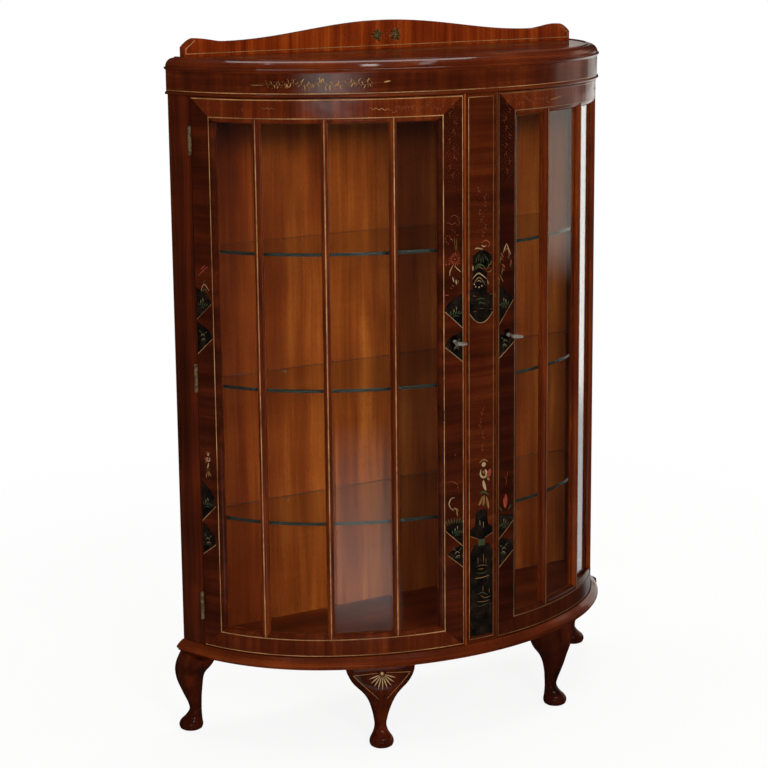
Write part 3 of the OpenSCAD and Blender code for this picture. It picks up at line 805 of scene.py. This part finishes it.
def string_door(side, sign):
    """Inlaid lines round the sight, along the edges and down each glazing bar."""
    # the right door's stringing is darker: painted shade
    shade = "string" if sign < 0 else "dull"
    brush = Brush(f"{side}_door_inlay", f"{side}_door", on_front, sign)
    left, right = LOCK_SIGHT - 1, HINGE_SIGHT + 1
    low, high = SIGHT_LOW - 1, SIGHT_HIGH + 1
    for u in (left, right):
        brush.line(shade, [(u, low - 1), (u, high + 1)], 1.9)
    for v in (low, high):
        brush.line(shade, [(left, v), (right, v)], 1.9)
    edge, far = LOCK_EDGE + 1.3, HINGE_EDGE - 1.5
    brush.line(shade, [(edge, DOOR_LOW + 0.6), (edge, DOOR_HIGH - 0.6)], 1.5)
    for v, width in ((DOOR_HIGH - 2.4, 2), (DOOR_LOW + 1.6, 1.5)):
        brush.line(shade, [(edge, v), (far, v)], width)
    for u in MUNTINS:
        brush.line(shade, [(u, low + 2), (u, high - 2)], 2.2)
    return brush


def string_carcass():
    """A frame round the centre panel, and one line along the frieze."""
    brush = Brush("carcass_inlay", "cabinet", on_front)
    side, low, high = 26, 176, 1150
    # the right-hand line is darker: painted shade
    for u, shade in ((-side, "string"), (side, "dull")):
        brush.line(shade, [(u, low), (u, high)], 1.2)
    for v in (low, high):
        brush.line("string", [(-side, v), (side, v)], 1.2)
    end = FACE_END / MM - 0.5
    brush.line("string", [(-end, FRIEZE_LOW + 7), (end, FRIEZE_LOW + 7)], 1.6)
    return brush


def string_gallery():
    """A line along the foot of the gallery and up its shaped ends."""
    brush = Brush("gallery_inlay", "cabinet", on_gallery)
    low = TOP_Z + 4
    end, shoulder = 411, 393
    brush.line("string", [(-end, low), (end, low)], 1.5)
    for sign in (-1, 1):
        rise = [(sign * end, low), (sign * end, low + 8.5), (sign * shoulder, low + 22.5)]
        brush.line("string", rise, 1.4)
    return brush


string_carcass().finish()
gallery_brush = string_gallery()


# ---- painted and gilded decoration ----


def strokes(brush, colour, width, *paths):
    """Several tapered strokes of one colour, each through a few points."""
    for path in paths:
        brush.stroke(colour, smoothed(path), width)


def smoothed(path):
    """The same path with rounded corners, in four steps between its points."""
    share = 4
    if len(path) < 3:
        return steps(*path, share)

    def between(a, b, c, d, t):
        """A cubic from b to c, leaving and arriving as a and d say."""
        square, cube = 2 * a - 5 * b + 4 * c - d, 3 * b - a - 3 * c + d
        return 0.5 * (2 * b + (c - a) * t + square * t * t + cube * t**3)

    fine = []
    for i in range(len(path) - 1):
        p0, p1 = path[max(i - 1, 0)], path[i]
        p2, p3 = path[i + 1], path[min(i + 2, len(path) - 1)]
        for k in range(share):
            fine.append(tuple(between(*four, k / share) for four in zip(p0, p1, p2, p3)))
    return fine + [path[-1]]


def dots(brush, colour, r, *places):
    """Dabs of one size at several places."""
    for u, v in places:
        brush.dot(colour, u, v, r)


def dashes(brush, a, b):
    """A row of short cream dashes from a to b."""
    pitch = 4.6
    share = 0.68
    run, rise = b[0] - a[0], b[1] - a[1]
    count = max(2, round(hypot(run, rise) / pitch))
    for i in range(count):
        ends = [(a[0] + run * t, a[1] + rise * t) for t in (i / count, (i + share) / count)]
        brush.stroke("pale", steps(*ends, 2), 1.5, taper="none")


def zigzag(brush, colour, u, v, length, drop, height, count, width=1):
    """A short wavy line that leads into a spray."""
    path = []
    for t in spread(0, 1, count * 8):
        wave = height * sin(2 * pi * count * t) * (1 - 0.4 * t)
        path.append((u + length * t, v + drop * t + wave))
    brush.stroke(colour, path, width)


def sprig(brush, u, v, angle, length, leaves, size):
    """A thin stem with small leaves on both sides, in rubbed gold."""
    stem = []
    last = max(leaves * 2, 8)
    for t in spread(0, 1, last):
        reach = length * t
        bow = 0.0625 * length * sin(2.4 * pi * t)
        across = u + reach * cos(angle) - bow * sin(angle)
        stem.append((across, v + reach * sin(angle) + bow * cos(angle)))
    brush.stroke("faint", stem, 0.6, taper="end")
    for k in range(leaves):
        at = stem[1 + int(k * (last - 2) / leaves)]
        turn = 1 if k % 2 else -1
        grow = size * (1 - 0.35 * k / leaves) * (0.85 + 0.3 * sin(2.3 * k + u))
        lean = angle + turn * (0.75 + 0.2 * sin(k + v))
        brush.leaf("faint", *at, lean, grow, grow * 0.26, bend=turn * 0.5)


def scatter(brush, colour, r, u, v, wide, high, count, seed=0):
    """Dabs spread evenly but irregularly over a patch centred on (u, v)."""
    for k in range(count):
        across = ((k * 0.618 + seed) % 1) - 0.5
        upwards = (k + 0.5) / count - 0.5
        size = r * (0.8 + 0.4 * sin(3.7 * k + seed))
        brush.dot(colour, u + wide * across, v + high * upwards, size)


def ray(u, v, angle, inner, outer, count):
    """Points outwards from (u, v), between two distances."""
    ends = [(u + reach * cos(angle), v + reach * sin(angle)) for reach in (inner, outer)]
    return steps(*ends, count)


def rays(brush, colour, u, v, inner, outer, count, width):
    """Thin petals all round a flower's heart."""
    for k in range(count):
        a = 2 * pi * k / count + 0.2
        reach = outer * (0.84 + 0.16 * sin(5.3 * k))
        brush.stroke(colour, ray(u, v, a, inner, reach, 4), width)


def pond(brush, u, v, wide):
    """Reeds and leaves over water, in a few small strokes."""
    reeds = [(u - 2, v + 4), (u - 1, v + 12)], [(u + 3, v + 1), (u + 3.5, v + 8)]
    strokes(brush, "pale", 1.1, *reeds)
    for k in range(5):
        root = u - 0.3 * wide + 0.15 * wide * k
        brush.leaf("green", root, v - 4, radians(130 - 20 * k), 9, 2.4, bend=0.3)
    strokes(brush, "green", 1.6, [(u - 0.35 * wide, v - 7), (u, v - 5), (u + 0.3 * wide, v - 8)])


def garden(brush, u, v, wide):
    """Curling leaves round a small roof."""
    roof = [(u - 5, v + 2), (u, v + 7), (u + 5, v + 2)]
    step = [(u - 7, v - 3), (u - 1, v - 1), (u + 4, v - 5)]
    ground = [(u - 0.3 * wide, v - 8), (u - 2, v - 4), (u + 0.25 * wide, v - 7)]
    strokes(brush, "pale", 1, roof, step)
    strokes(brush, "green", 1.8, ground)
    brush.leaf("green", u + 2, v + 8, radians(40), 9, 2.6)
    brush.leaf("green", u - 3, v + 7, radians(140), 9, 2.6)


def robed(brush, u, v, h):
    """A tiny robed figure under a round hat, without features."""

    def at(du, dv):
        return (u + du * h, v + dv * h)

    brush.dot("pale", *at(0.03, 0.91), 0.05 * h)
    strokes(brush, "gold", 0.03 * h, [at(-0.07, 0.95), at(0.03, 1), at(0.13, 0.95)])
    strokes(
        brush, "pale", 0.045 * h,
        [at(-0.03, 0.83), at(-0.04, 0.73), at(0.03, 0.67), at(0.12, 0.70)],
        [at(0.05, 0.82), at(0.09, 0.76), at(0.06, 0.69)],
    )
    folds = [at(0.01, 0.80), at(0.04, 0.74)], [at(0.10, 0.66), at(0.16, 0.60)]
    strokes(brush, "gold", 0.05 * h, *folds)
    brush.leaf("red", *at(0.14, 0.66), radians(80), 0.16 * h, 0.09 * h)
    strokes(brush, "pale", 0.07 * h, [at(0.02, 0.62), at(0.04, 0.52), at(0.08, 0.42)])
    strokes(brush, "green", 0.045 * h, [at(-0.06, 0.38), at(0.03, 0.40), at(0.15, 0.33)])
    strokes(
        brush, "gold", 0.05 * h,
        [at(0.01, 0.33), at(-0.04, 0.22), at(-0.08, 0.16)],
        [at(0.04, 0.34), at(0.03, 0.22), at(0.02, 0.14)],
        [at(0.08, 0.32), at(0.12, 0.18), at(0.14, 0.07)],
    )


# The base lines of the half lozenges, beside the edge stringing of each stile
HINGE_BASE = HINGE_EDGE - 2.1
LOCK_BASE = LOCK_EDGE + 2.2


def panel(brush, motif, at, wide, edge, tip, low, mid, high, dashed=False, swell=0.45):
    """A black half lozenge with a small scene: base on u = edge, point at (tip, mid)."""

    def share(u):
        return min(1, abs(u - edge) / abs(tip - edge))

    brush.area(
        "black",
        lambda u: low + (mid - low) * share(u),
        lambda u: mid + (high - mid) * (1 - share(u)) ** swell,
        spread(edge, tip, 14),
    )
    if dashed:
        dashes(brush, (edge, low), (tip, mid))
    else:
        brush.stroke("string", steps((edge, low), (tip, mid), 2), 1.1, taper="none")
    motif(brush, *at, wide)


def decorate_door(side, sign):
    """Sprays on the top rail and groups on both stiles of one door."""
    b = Brush(f"{side}_door_art", f"{side}_door", on_front, sign)
    # top rail: a wave and curls, then a dotted spray to the corner and down the stile
    zigzag(b, "bright", 208, 1138, -40, -3.5, 1.7, 4)
    b.curl("gold", 168, 1131, radians(200), 9, -1, 0.9)
    b.curl("gold", 162, 1139, radians(150), 8, 1, 0.9)
    for k in range(8):
        u = 152 - 9 * k
        sprig(b, u, 1136 + 4 * sin(1.7 * k), radians(165 + 30 * sin(2.1 * k)), 12, 4, 4.2)
    scatter(b, "faint", 0.6, 118, 1137, 84, 17, 80)
    zigzag(b, "gold", 393, 1139.5, -26, 0, 1.5, 3, 0.9)
    b.curl("faint", 425, 1134, radians(60), 7, 1, 0.8)
    for k in range(9):
        tilt = radians(-95 + 26 * sin(1.9 * k))
        sprig(b, 57.5 + 4 * sin(2 * k), 1143 - 15 * k, tilt, 13, 4, 4)
    scatter(b, "faint", 0.55, 57.5, 1072, 23, 150, 120, 0.3)
    # hinge stile groups
    strokes(b, "red", 2.2, [(525, 845), (514, 855), (502, 864)], [(520, 856), (508, 866)])
    strokes(b, "pale", 1.6, [(520, 818), (512, 832), (501, 820)])
    strokes(b, "green", 2.4, [(521, 814), (511, 823), (503, 815)], [(516, 834), (508, 838)])
    panel(b, pond, (517, 796), 20, HINGE_BASE, 497, 768, 798, 824)
    panel(b, garden, (518, 736), 20, HINGE_BASE, 497, 706, 736, 764)
    robed(b, 512, 479, 52)
    panel(b, pond, (518, 436), 20, HINGE_BASE, 499, 403, 433, 477)
    panel(b, garden, (519, 366), 18, HINGE_BASE, 501, 341, 362, 400)
    if sign < 0:
        lock_stile_flowers(b)
    else:
        lock_stile_hut(b)
    return b


def lock_stile_flowers(b):
    """The left door's lock stile: an aster with buds above, a heron below."""
    strokes(
        b, "faint", 1,
        [(71, 935), (67, 937), (59, 933), (54, 936), (48, 930)],
        [(44, 942), (54, 949), (63, 946)],
        [(48, 930), (45, 936), (50, 944)],
    )
    dots(b, "faint", 1, (59, 924), (54, 920), (49, 914), (68, 914), (72, 910))
    dots(b, "red", 1.1, (62, 908), (71, 904), (67, 900), (64, 913))
    stems = [(55, 912), (53, 886)], [(50.5, 909), (50.5, 885)], [(57, 904), (63, 911)]
    strokes(b, "gold", 0.9, *stems)
    rays(b, "coral", 54, 872.5, 4.5, 15, 17, 1)
    dots(b, "coral", 1.2, (65, 865), (71, 864), (54, 872.5))
    strokes(
        b, "pale", 2,
        [(56, 864), (61.5, 856), (64, 851), (64, 843)],
        [(55, 861), (48, 854), (42, 849)],
    )
    strokes(b, "pale", 2.8, [(59, 842), (56, 832)], [(52, 837), (51, 827)])
    strokes(b, "gold", 1.6, [(48, 836), (48, 829)], [(60, 828), (56, 824)])
    strokes(b, "red", 1.6, [(74, 812), (70, 810), (66, 811)], [(63, 823), (60, 821)])
    panel(b, pond, (53, 778), 24, LOCK_BASE, 74, 750, 782, 811, dashed=True)
    panel(b, garden, (53, 719), 24, LOCK_BASE, 74, 690, 719, 745, dashed=True)
    # lower group
    strokes(b, "faint", 1.1, [(71, 474), (64, 476), (51, 470), (48, 459)], [(56, 526), (53, 521)])
    dots(b, "faint", 0.9, (50, 463), (47, 455), (55, 473))
    strokes(b, "pale", 1.9, [(55, 445), (62, 445), (67, 437), (65, 429), (57, 421)])
    strokes(b, "gold", 3.4, [(59, 426), (54, 425), (48, 421)], [(52, 424), (50, 410)])
    for k in range(7):
        b.leaf("green", 70 - 4.2 * k, 397, radians(60 + 12 * k), 12, 2.6)
    panel(b, pond, (52, 382), 20, LOCK_BASE, 74, 354, 386, 404, swell=0.3)
    panel(b, garden, (51, 339), 18, LOCK_BASE, 70, 315, 341, 359, swell=0.7)


def lock_stile_hut(b):
    """The right door's lock stile: a hut among dark leaves above, a red bud below."""
    strokes(b, "pale", 2.2, [(48, 874), (52, 883), (56, 891)], [(56, 891), (61, 880), (66, 870)])
    strokes(b, "gold", 1.4, [(52, 876), (57, 882), (62, 874)])
    foliage = ((41, 860, 60), (48, 866, 100), (62, 866, 80), (52, 847, 110))
    foliage += ((66, 851, 70), (45, 839, 60), (41, 826, 120))
    for u, v, turn in foliage:
        b.leaf("faint", u, v, radians(turn), 11, 3, bend=0.4)
        b.leaf("green", u + 1, v - 4, radians(turn + 60), 8, 2.2, bend=-0.3)
    strokes(b, "gold", 1.4, [(39.5, 838), (45, 829), (49, 822)])
    panel(b, pond, (51, 784), 22, LOCK_BASE, 72.5, 748, 789, 819, swell=0.8)
    panel(b, garden, (53, 712), 22, LOCK_BASE, 76, 687, 714, 733, swell=0.8)
    # lower group
    b.leaf("red", 55, 409, radians(90), 27, 9)
    b.leaf("coral", 52.5, 410, radians(98), 19, 2.6)
    b.leaf("green", 61, 405, radians(50), 12, 3.2)
    b.leaf("green", 47, 405, radians(130), 12, 3.2)
    strokes(b, "faint", 1, [(52, 470), (57, 461), (54, 452)], [(60, 478), (58, 466)])
    panel(b, pond, (52, 380), 20, LOCK_BASE, 74, 354, 384, 400, swell=0.18)
    panel(b, garden, (51, 330), 20, LOCK_BASE, 73, 301, 328, 357, swell=0.2)


def decorate_pilaster():
    """Two tall groups on the centre panel, each above black lacquer."""
    b = Brush("pilaster_art", "cabinet", on_front)
    half = 24.6
    stations = spread(-half, half, 24)
    for k in range(7):
        u = 3 + 8 * sin(1.8 * k)
        sprig(b, u, 906 + 13 * k, radians(90 + 22 * sin(2.2 * k)), 15, 4, 4.2)
    scatter(b, "faint", 0.55, 2, 955, 32, 90, 40)
    # birds over a dark rock with leaves
    strokes(b, "pale", 2.4, [(-14, 887), (-8, 888), (4, 885)], [(0, 893), (5, 890), (11, 891)])
    strokes(b, "coral", 1.6, [(0, 896), (6, 900), (11, 900), (18, 894), (13, 887)])

    def rock(u):
        return 884 - 0.028 * (u - 1) ** 2 + 1.4 * sin(1.1 * u)

    b.area("black", lambda u: 806, lambda u: 853 - 0.03 * (u + 6) ** 2, stations[3:-6], height=0.08)
    b.area("black", lambda u: 852, rock, stations[3:-1])
    for k in range(6):
        b.leaf("green", -12 + 5.5 * k, 862 + 3 * sin(2 * k), radians(75 + 8 * k), 13, 1.8)
    strokes(b, "green", 4.4, [(-17, 849), (-11, 856), (-5, 859), (3, 856), (11, 848)])
    strokes(b, "gold", 1.2, [(-12, 850), (-5, 855), (5, 849)])
    b.leaf("pale", -18, 849, radians(88), 10, 2.6)
    strokes(
        b, "gold", 1.3,
        [(12, 850), (17, 856), (24, 862)],
        [(13, 845), (18, 844), (24, 849)],
        [(16, 852), (15, 860)],
        [(20, 857), (21, 865)],
    )
    # a hut with a double roof
    strokes(b, "pale", 2.6, [(-19, 834), (-12, 841), (-5, 843.5), (4, 838), (13, 831)])
    strokes(b, "gold", 2.2, [(-17, 825), (-12, 831), (-6, 836), (0, 833), (8.5, 821)])
    strokes(b, "pale", 1.4, [(-9, 829), (-5, 831), (0, 827)], [(13, 830), (15, 822)])
    dots(b, "pale", 1.6, (-15, 825), (-12, 820.5), (-5, 819), (1, 821))

    def bowl(u):
        return 756 + 0.03 * u * u

    def sill(u):
        return 812.5 - 0.22 * u + 3 * cos(0.16 * (u + 9))

    b.area("black", bowl, sill, stations)
    rim = [(u, bowl(u) - 0.8) for u in spread(-half, half, 11)]
    for start, end in zip(rim, rim[1:]):
        dashes(b, start, end)
    strokes(
        b, "faint", 1.5,
        [(-19, 805), (-10, 803)],
        [(17, 804), (24, 806)],
        [(-18, 777), (-10, 776)],
        [(18, 777), (24, 778)],
    )
    strokes(b, "green", 2.4, [(-8, 789), (1, 791), (11, 786)], [(-13, 796), (-2, 799), (9, 796)])
    strokes(b, "green", 1.6, [(-6, 781), (6, 780)], [(-3, 789), (-4, 796)])
    # lower group: sprigs, a figure on a black mound, a vase-like shape and the tall panel
    for k in range(4):
        lean = radians(92 + 18 * sin(1.5 * k))
        sprig(b, 2 + 5 * sin(2 * k), 522 + 22 * k, lean, 22, 5, 4)
    robed(b, 2, 408, 99)

    def mound(u):
        if abs(u) <= 13:
            return 416 - 0.02 * u * u
        return 388 - 0.6 * (abs(u) - 13)

    def vase_foot(u):
        return 360 + 0.42 * abs(u)

    b.area("black", vase_foot, mound, stations)
    for way in (-1, 1):
        brim = [(way * u, vase_foot(u) - 0.6) for u in (8, 14, 19, 24)]
        b.stroke("gold", brim, 1.2, taper="none")
    strokes(b, "pale", 1, [(-4, 398), (-3, 386)], [(4, 395), (4, 380)])
    b.area("green", lambda u: 349, lambda u: 361, [-7, -3.5, 0, 3.5, 7], height=0.25)

    def crown(u):
        return 352 if abs(u) < 15 else 352 - 1.5 * (abs(u) - 15)

    b.area("black", lambda u: 181, crown, stations)
    posts = [(-8, 313), (-8, 330)], [(4.5, 313), (4.5, 336)], [(10, 312), (10, 325)]
    strokes(b, "gold", 1.2, *posts)
    strokes(b, "gold", 1.3, [(-12, 311), (1, 312.5), (15, 309)], [(-9, 306), (7, 305)])
    strokes(b, "string", 1.4, [(-17, 290), (1, 289), (18, 291)])
    strokes(b, "gold", 1.2, [(3, 262), (3, 275)], [(17, 255), (17, 267)])
    strokes(b, "green", 2, [(-10, 258), (2, 261), (15, 253)], [(-14, 300), (2, 297), (14, 301)])
    strokes(b, "gold", 1.3, [(-3, 256), (8, 250), (22, 252)], [(-12, 246), (5, 243), (20, 245)])
    strokes(b, "green", 1.8, [(-16, 238), (0, 236), (16, 239)])
    return b


def decorate_frieze():
    """A long thin gilt scroll of leaves and flowers, over the left door."""
    b = Brush("frieze_scroll", "cabinet", on_front, -1)
    middle = 1180
    start, end = 398, 178
    last = 60
    path = []
    for t in spread(0, 1, last):
        wave = 2.6 * sin(9 * pi * t) * (0.3 + 0.7 * sin(pi * t))
        path.append((start + (end - start) * t, middle + wave))
    b.stroke("gold", path, 0.7)
    b.leaf("gold", start + 12, middle - 1.5, pi, 26, 1.8)
    b.leaf("bright", end - 8, middle + 3.5, radians(-8), 13, 2.8)
    for k in range(5, last - 5):
        u, v = path[k]
        turn = 1 if k % 2 else -1
        fullness = sin(pi * k / last)
        size = (5 + 2.4 * sin(0.9 * k)) * (0.5 + 0.7 * fullness)
        lean = pi - turn * (0.8 + 0.5 * sin(1.3 * k))
        colour = "gold" if k % 3 == 0 else "bright"
        b.leaf(colour, u, v, lean, size + 1, size * 0.24, bend=-turn * 0.8)
        b.dot(colour, u + 2, v + turn * (5 + 2.5 * fullness * sin(2.4 * k)), 0.6)
    for u, v, r in ((302, 1178, 5), (346, 1177, 4.5), (262, 1179, 4), (232, 1181, 3.5)):
        rays(b, "bright", u, v, 1.2, r, 6, 0.9)
        b.dot("bright", u, v, 1.2)
    for u, way in ((321, 1), (289, 1), (281, -1), (274, -1), (226, 1), (211, 1)):
        b.leaf("bright", u, middle + way * 2, radians(90 * way + 12), 9, 1.8, bend=0.4 * way)
    for k in range(11):
        turn = 1 if k % 2 else -1
        b.curl("gold", 380 - 17 * k, middle, radians(90 * turn), 5, turn, 0.7)
    return b


def decorate_gallery(b):
    """Two small clusters of dull gold flowers and leaves, with faint sprays beside them."""
    middle = 1243.5
    for centre in (-21, 19):
        for k in range(9):
            a = 2 * pi * k / 9 + centre
            under, over = (13, 13) if k % 2 else (9, 10)
            b.leaf("shade", centre, middle, a, under, 5, bend=0.3, height=0.12)
            b.leaf("green", centre, middle, a + 0.3, over, 2.4, bend=0.4, height=0.2)
        for k in range(8):
            a = 2 * pi * k / 8 + 0.4
            reach = 9 + 3 * sin(2.7 * k)
            b.leaf("gold", centre, middle, a, reach, 1.3, bend=0.6)
            b.dot("gold", centre + reach * cos(a + 0.5), middle + reach * sin(a + 0.5), 1.3)
        b.dot("gold", centre, middle, 1.8)
    scatter(b, "gold", 0.9, 0, middle, 76, 20, 26)
    for k in range(8):
        lean = radians(60 + 50 * (k % 3))
        sprig(b, -50 - 9 * k, 1238 + 3 * sin(2 * k), lean, 11, 4, 3.8)
    scatter(b, "faint", 0.5, -85, 1241, 70, 14, 26)


def decorate_leg():
    """A fan of petals inside a triangle of stringing, on the left front knee."""
    b = Brush("fan_left", "cabinet", on_leg)
    heart = 138
    for turn in spread(-162, -18, 8):
        a = radians(turn)
        length = 23 - 2.5 * abs(cos(a))
        b.stroke("fan", ray(0, heart, a, 5, 5 + length, 6), 2.3, height=0.35)
    for turn in spread(-170, -10, 4):
        b.stroke("gold", ray(0, heart, radians(turn), 1, 5, 2), 1.2)
    b.dot("fan", 0, heart + 1, 3)
    for way in (-1, 1):
        b.line("string", [(way * 8, 140), (way * 52, 138)], 0.9, step=3)
        corner = [(way * 52, 138), (way * 36, 121), (way * 20, 106), (way * 8, 93)]
        b.line("string", corner, 0.9, step=3)
    return b


decorate_gallery(gallery_brush)
gallery_brush.finish()
decorate_pilaster().finish()
decorate_frieze().finish()
decorate_leg().finish()
for side, sign in SIDES:
    string_door(side, sign).finish()
    decorate_door(side, sign).finish()


# ---- camera ----

CAMERA_AT = Vector((-2.14784, -3.23544, 1.45002))
CAMERA_AZIMUTH = radians(-32.179)
CAMERA_ELEVATION = radians(12.056)
CAMERA_ROLL = radians(-0.564)
SENSOR = 36
# Focal length as a share of the sensor's width
FOCAL_SHARE = 2177.37 / 768

camera_data = bpy.data.cameras.new("camera")
camera_data.sensor_width = SENSOR
camera_data.lens = SENSOR * FOCAL_SHARE
camera_data.clip_end = 50
camera = placed("camera", camera_data)
camera.matrix_world = (
    Matrix.Translation(CAMERA_AT)
    @ Matrix.Rotation(CAMERA_AZIMUTH, 4, "Z")
    @ Matrix.Rotation(pi / 2 - CAMERA_ELEVATION, 4, "X")
    @ Matrix.Rotation(CAMERA_ROLL, 4, "Z")
)
bpy.context.scene.camera = camera


# ---- studio: pale floor, soft lights, white surroundings that mirror dark ----


def seen_as(net, first_turn):
    """Masks for rays that look straight or through glass, and for those of a reflection.

    first_turn is the ray depth from which a thing is no longer looked at directly: a world
    counts its own shading as one step.
    """
    path = net.add("ShaderNodeLightPath").outputs
    turns = net.minus(path["Ray Depth"], path["Transmission Depth"])
    direct = net.math("LESS_THAN", turns, first_turn)
    mirrored = net.math("GREATER_THAN", path["Glossy Depth"], 0.5)
    return direct, mirrored


# Share of plain white in the floor as it is looked at, near the cabinet and far away
NEAR_GLOW = 0.87
FAR_GLOW = 1
# The floor's brightness in reflections, outside its lit patches and what they add
FLOOR_DIM = 0.012
FLOOR_LIT = 0.8
# The floor's half width and the gap between it and the feet, in metres
FLOOR_HALF = 14
FLOOR_GAP = 0.0006


def stage_floor():
    """A pale floor that glows where looked at; reflections see a dim one with lit patches."""
    mesh = bpy.data.meshes.new("studio_floor")
    corners = [(-1, -1), (1, -1), (1, 1), (-1, 1)]
    places = [(x * FLOOR_HALF, y * FLOOR_HALF, -FLOOR_GAP) for x, y in corners]
    mesh.from_pydata(places, [], [(0, 1, 2, 3)])
    floor = placed("studio_floor", mesh)
    net = Net("pale_floor")
    place = net.place()
    fleck = net.noise(net.times(place, 3), detail=4)
    tone = net.ramp(fleck, ((0.3, (0.86, 0.86, 0.85)), (0.7, (0.90, 0.90, 0.89))))
    plain = net.principled(Base_Color=tone, Roughness=0.9, Specular_IOR_Level=0.1)
    white = net.node("ShaderNodeEmission", {"Strength": 1})
    direct, mirrored = seen_as(net, 0.5)
    away = net.node("ShaderNodeVectorMath", {0: place}, operation="LENGTH", out="Value")
    glow = net.mul(direct, net.span(away, 0.7, 2.2, NEAR_GLOW, FAR_GLOW))
    looked_at = net.blend(glow, plain, white)
    x, y, _ = net.split(place)
    lane = radians(-16)
    ahead = net.plus(net.mul(x, sin(lane)), net.mul(y, -cos(lane)))
    aside = net.plus(net.mul(x, cos(lane)), net.mul(y, sin(lane)))
    from_middle = net.size(net.plus(aside, 0.185))
    fading = net.mul(net.span(ahead, 2.7, 1.3), net.span(ahead, 0.7, 1))
    in_strip = net.mul(net.span(from_middle, 0.30, 0.12), fading)
    behind = net.mul(net.span(x, 0.7, 1), net.span(y, 0.15, 0.3))
    lit = net.math("MAXIMUM", in_strip, behind)
    level = net.mul_add(lit, FLOOR_LIT, FLOOR_DIM)
    dim = net.node("ShaderNodeEmission", {"Strength": level})
    mesh.materials.append(net.finish(net.blend(mirrored, looked_at, dim)))


def feather(data, rim):
    """Fades a lamp's face towards its edges, over rim as a share of its width."""
    data.use_nodes = True
    net = Nodes(data.node_tree)
    emission = next(n for n in net.tree.nodes if n.type == "EMISSION")
    across = net.split(net.node("ShaderNodeNewGeometry", out="Parametric"))
    level = 1
    for axis in across[:2]:
        to_edge = net.minus(0.5, net.size(net.minus(axis, 0.5)))
        ends = {0: to_edge, 2: rim}
        fade = net.node("ShaderNodeMapRange", ends, interpolation_type="SMOOTHSTEP")
        level = net.mul(fade, level)
    net.tree.links.new(level, emission.inputs["Strength"])


def softbox(name, at, aim, width, height, power, rim=None, tint=WHITE):
    """A rectangular lamp at one place, turned towards another; power in watts."""
    data = bpy.data.lights.new(name, "AREA")
    data.shape = "RECTANGLE"
    data.size = width
    data.size_y = height
    data.energy = power
    data.color = tint
    lamp = placed(name, data)
    lamp.location = at
    lamp.rotation_euler = (Vector(aim) - Vector(at)).to_track_quat("-Z", "Y").to_euler()
    lamp.visible_camera = False
    if rim is not None:
        feather(data, rim)
    return lamp


def surroundings():
    """White to look at, softer as light, dim in reflections like a darkened studio."""
    world = bpy.data.worlds.new("studio")
    world.use_nodes = True
    bpy.context.scene.world = world
    net = Nodes(world.node_tree)
    net.tree.nodes.clear()
    direct, mirrored = seen_as(net, 1.5)

    def background(colour, strength):
        return net.node("ShaderNodeBackground", {"Color": opaque(colour), "Strength": strength})

    white = background(WHITE, 1)
    fill = background((1, 0.98, 0.95), 0.5)
    dim = background((0.95, 0.97, 1), 0.018)
    seen = net.blend(mirrored, net.blend(direct, fill, white), dim)
    net.add("ShaderNodeOutputWorld", {0: seen})
    world.cycles.sampling_method = "NONE"


WARM = (1, 0.93, 0.84)

stage_floor()
surroundings()
# these three light the wood and are not mirrored in it
softbox("key", (-1.05, -3.9, 1.85), (0, 0, 0.8), 1.2, 1.3, 84).visible_glossy = False
softbox("left_fill", (-2.7, -2.7, 1.7), (0, 0, 0.8), 1.4, 1.2, 26).visible_glossy = False
softbox("fill_right", (3, -1.9, 2.3), (0, 0, 0.7), 2.2, 1.8, 12).visible_glossy = False
# the others also give the polish and the panes their reflections
softbox("overhead", (0.2, 0.4, 3.6), (0, 0, 1), 2.4, 1.6, 45)
softbox("ceiling_left", (-0.51, -2.42, 3.67), (0, 0, 1.2), 0.5, 0.5, 11, rim=0.3)
softbox("ceiling_right", (0.68, -2.38, 3.67), (0, 0, 1.2), 0.4, 0.5, 4, rim=0.3)
softbox("low_window", (-1.68, -2.66, 0.97), (-0.25, -0.15, 0.97), 2.3, 0.3, 8.5, rim=0.5)
softbox("side_wall", (2.95, -0.3, 0.91), (0, 0, 0.86), 1.2, 1.18, 2.7, rim=0.15, tint=WARM)
softbox("back_wall", (2.2, 0.9, 0.66), (0.3, 0, 0.66), 0.9, 1.3, 3.2, rim=0.15, tint=WARM)
softbox("right_high", (2.6, 0.6, 2), (0.3, 0, 1.2), 1.2, 1, 2.5, rim=0.3, tint=WARM)
softbox("back_high", (1.9, 2.6, 1.35), (0.3, 0, 1.2), 1.2, 0.7, 1.8, rim=0.3, tint=WARM)

bpy.context.scene.view_settings.view_transform = "Standard"
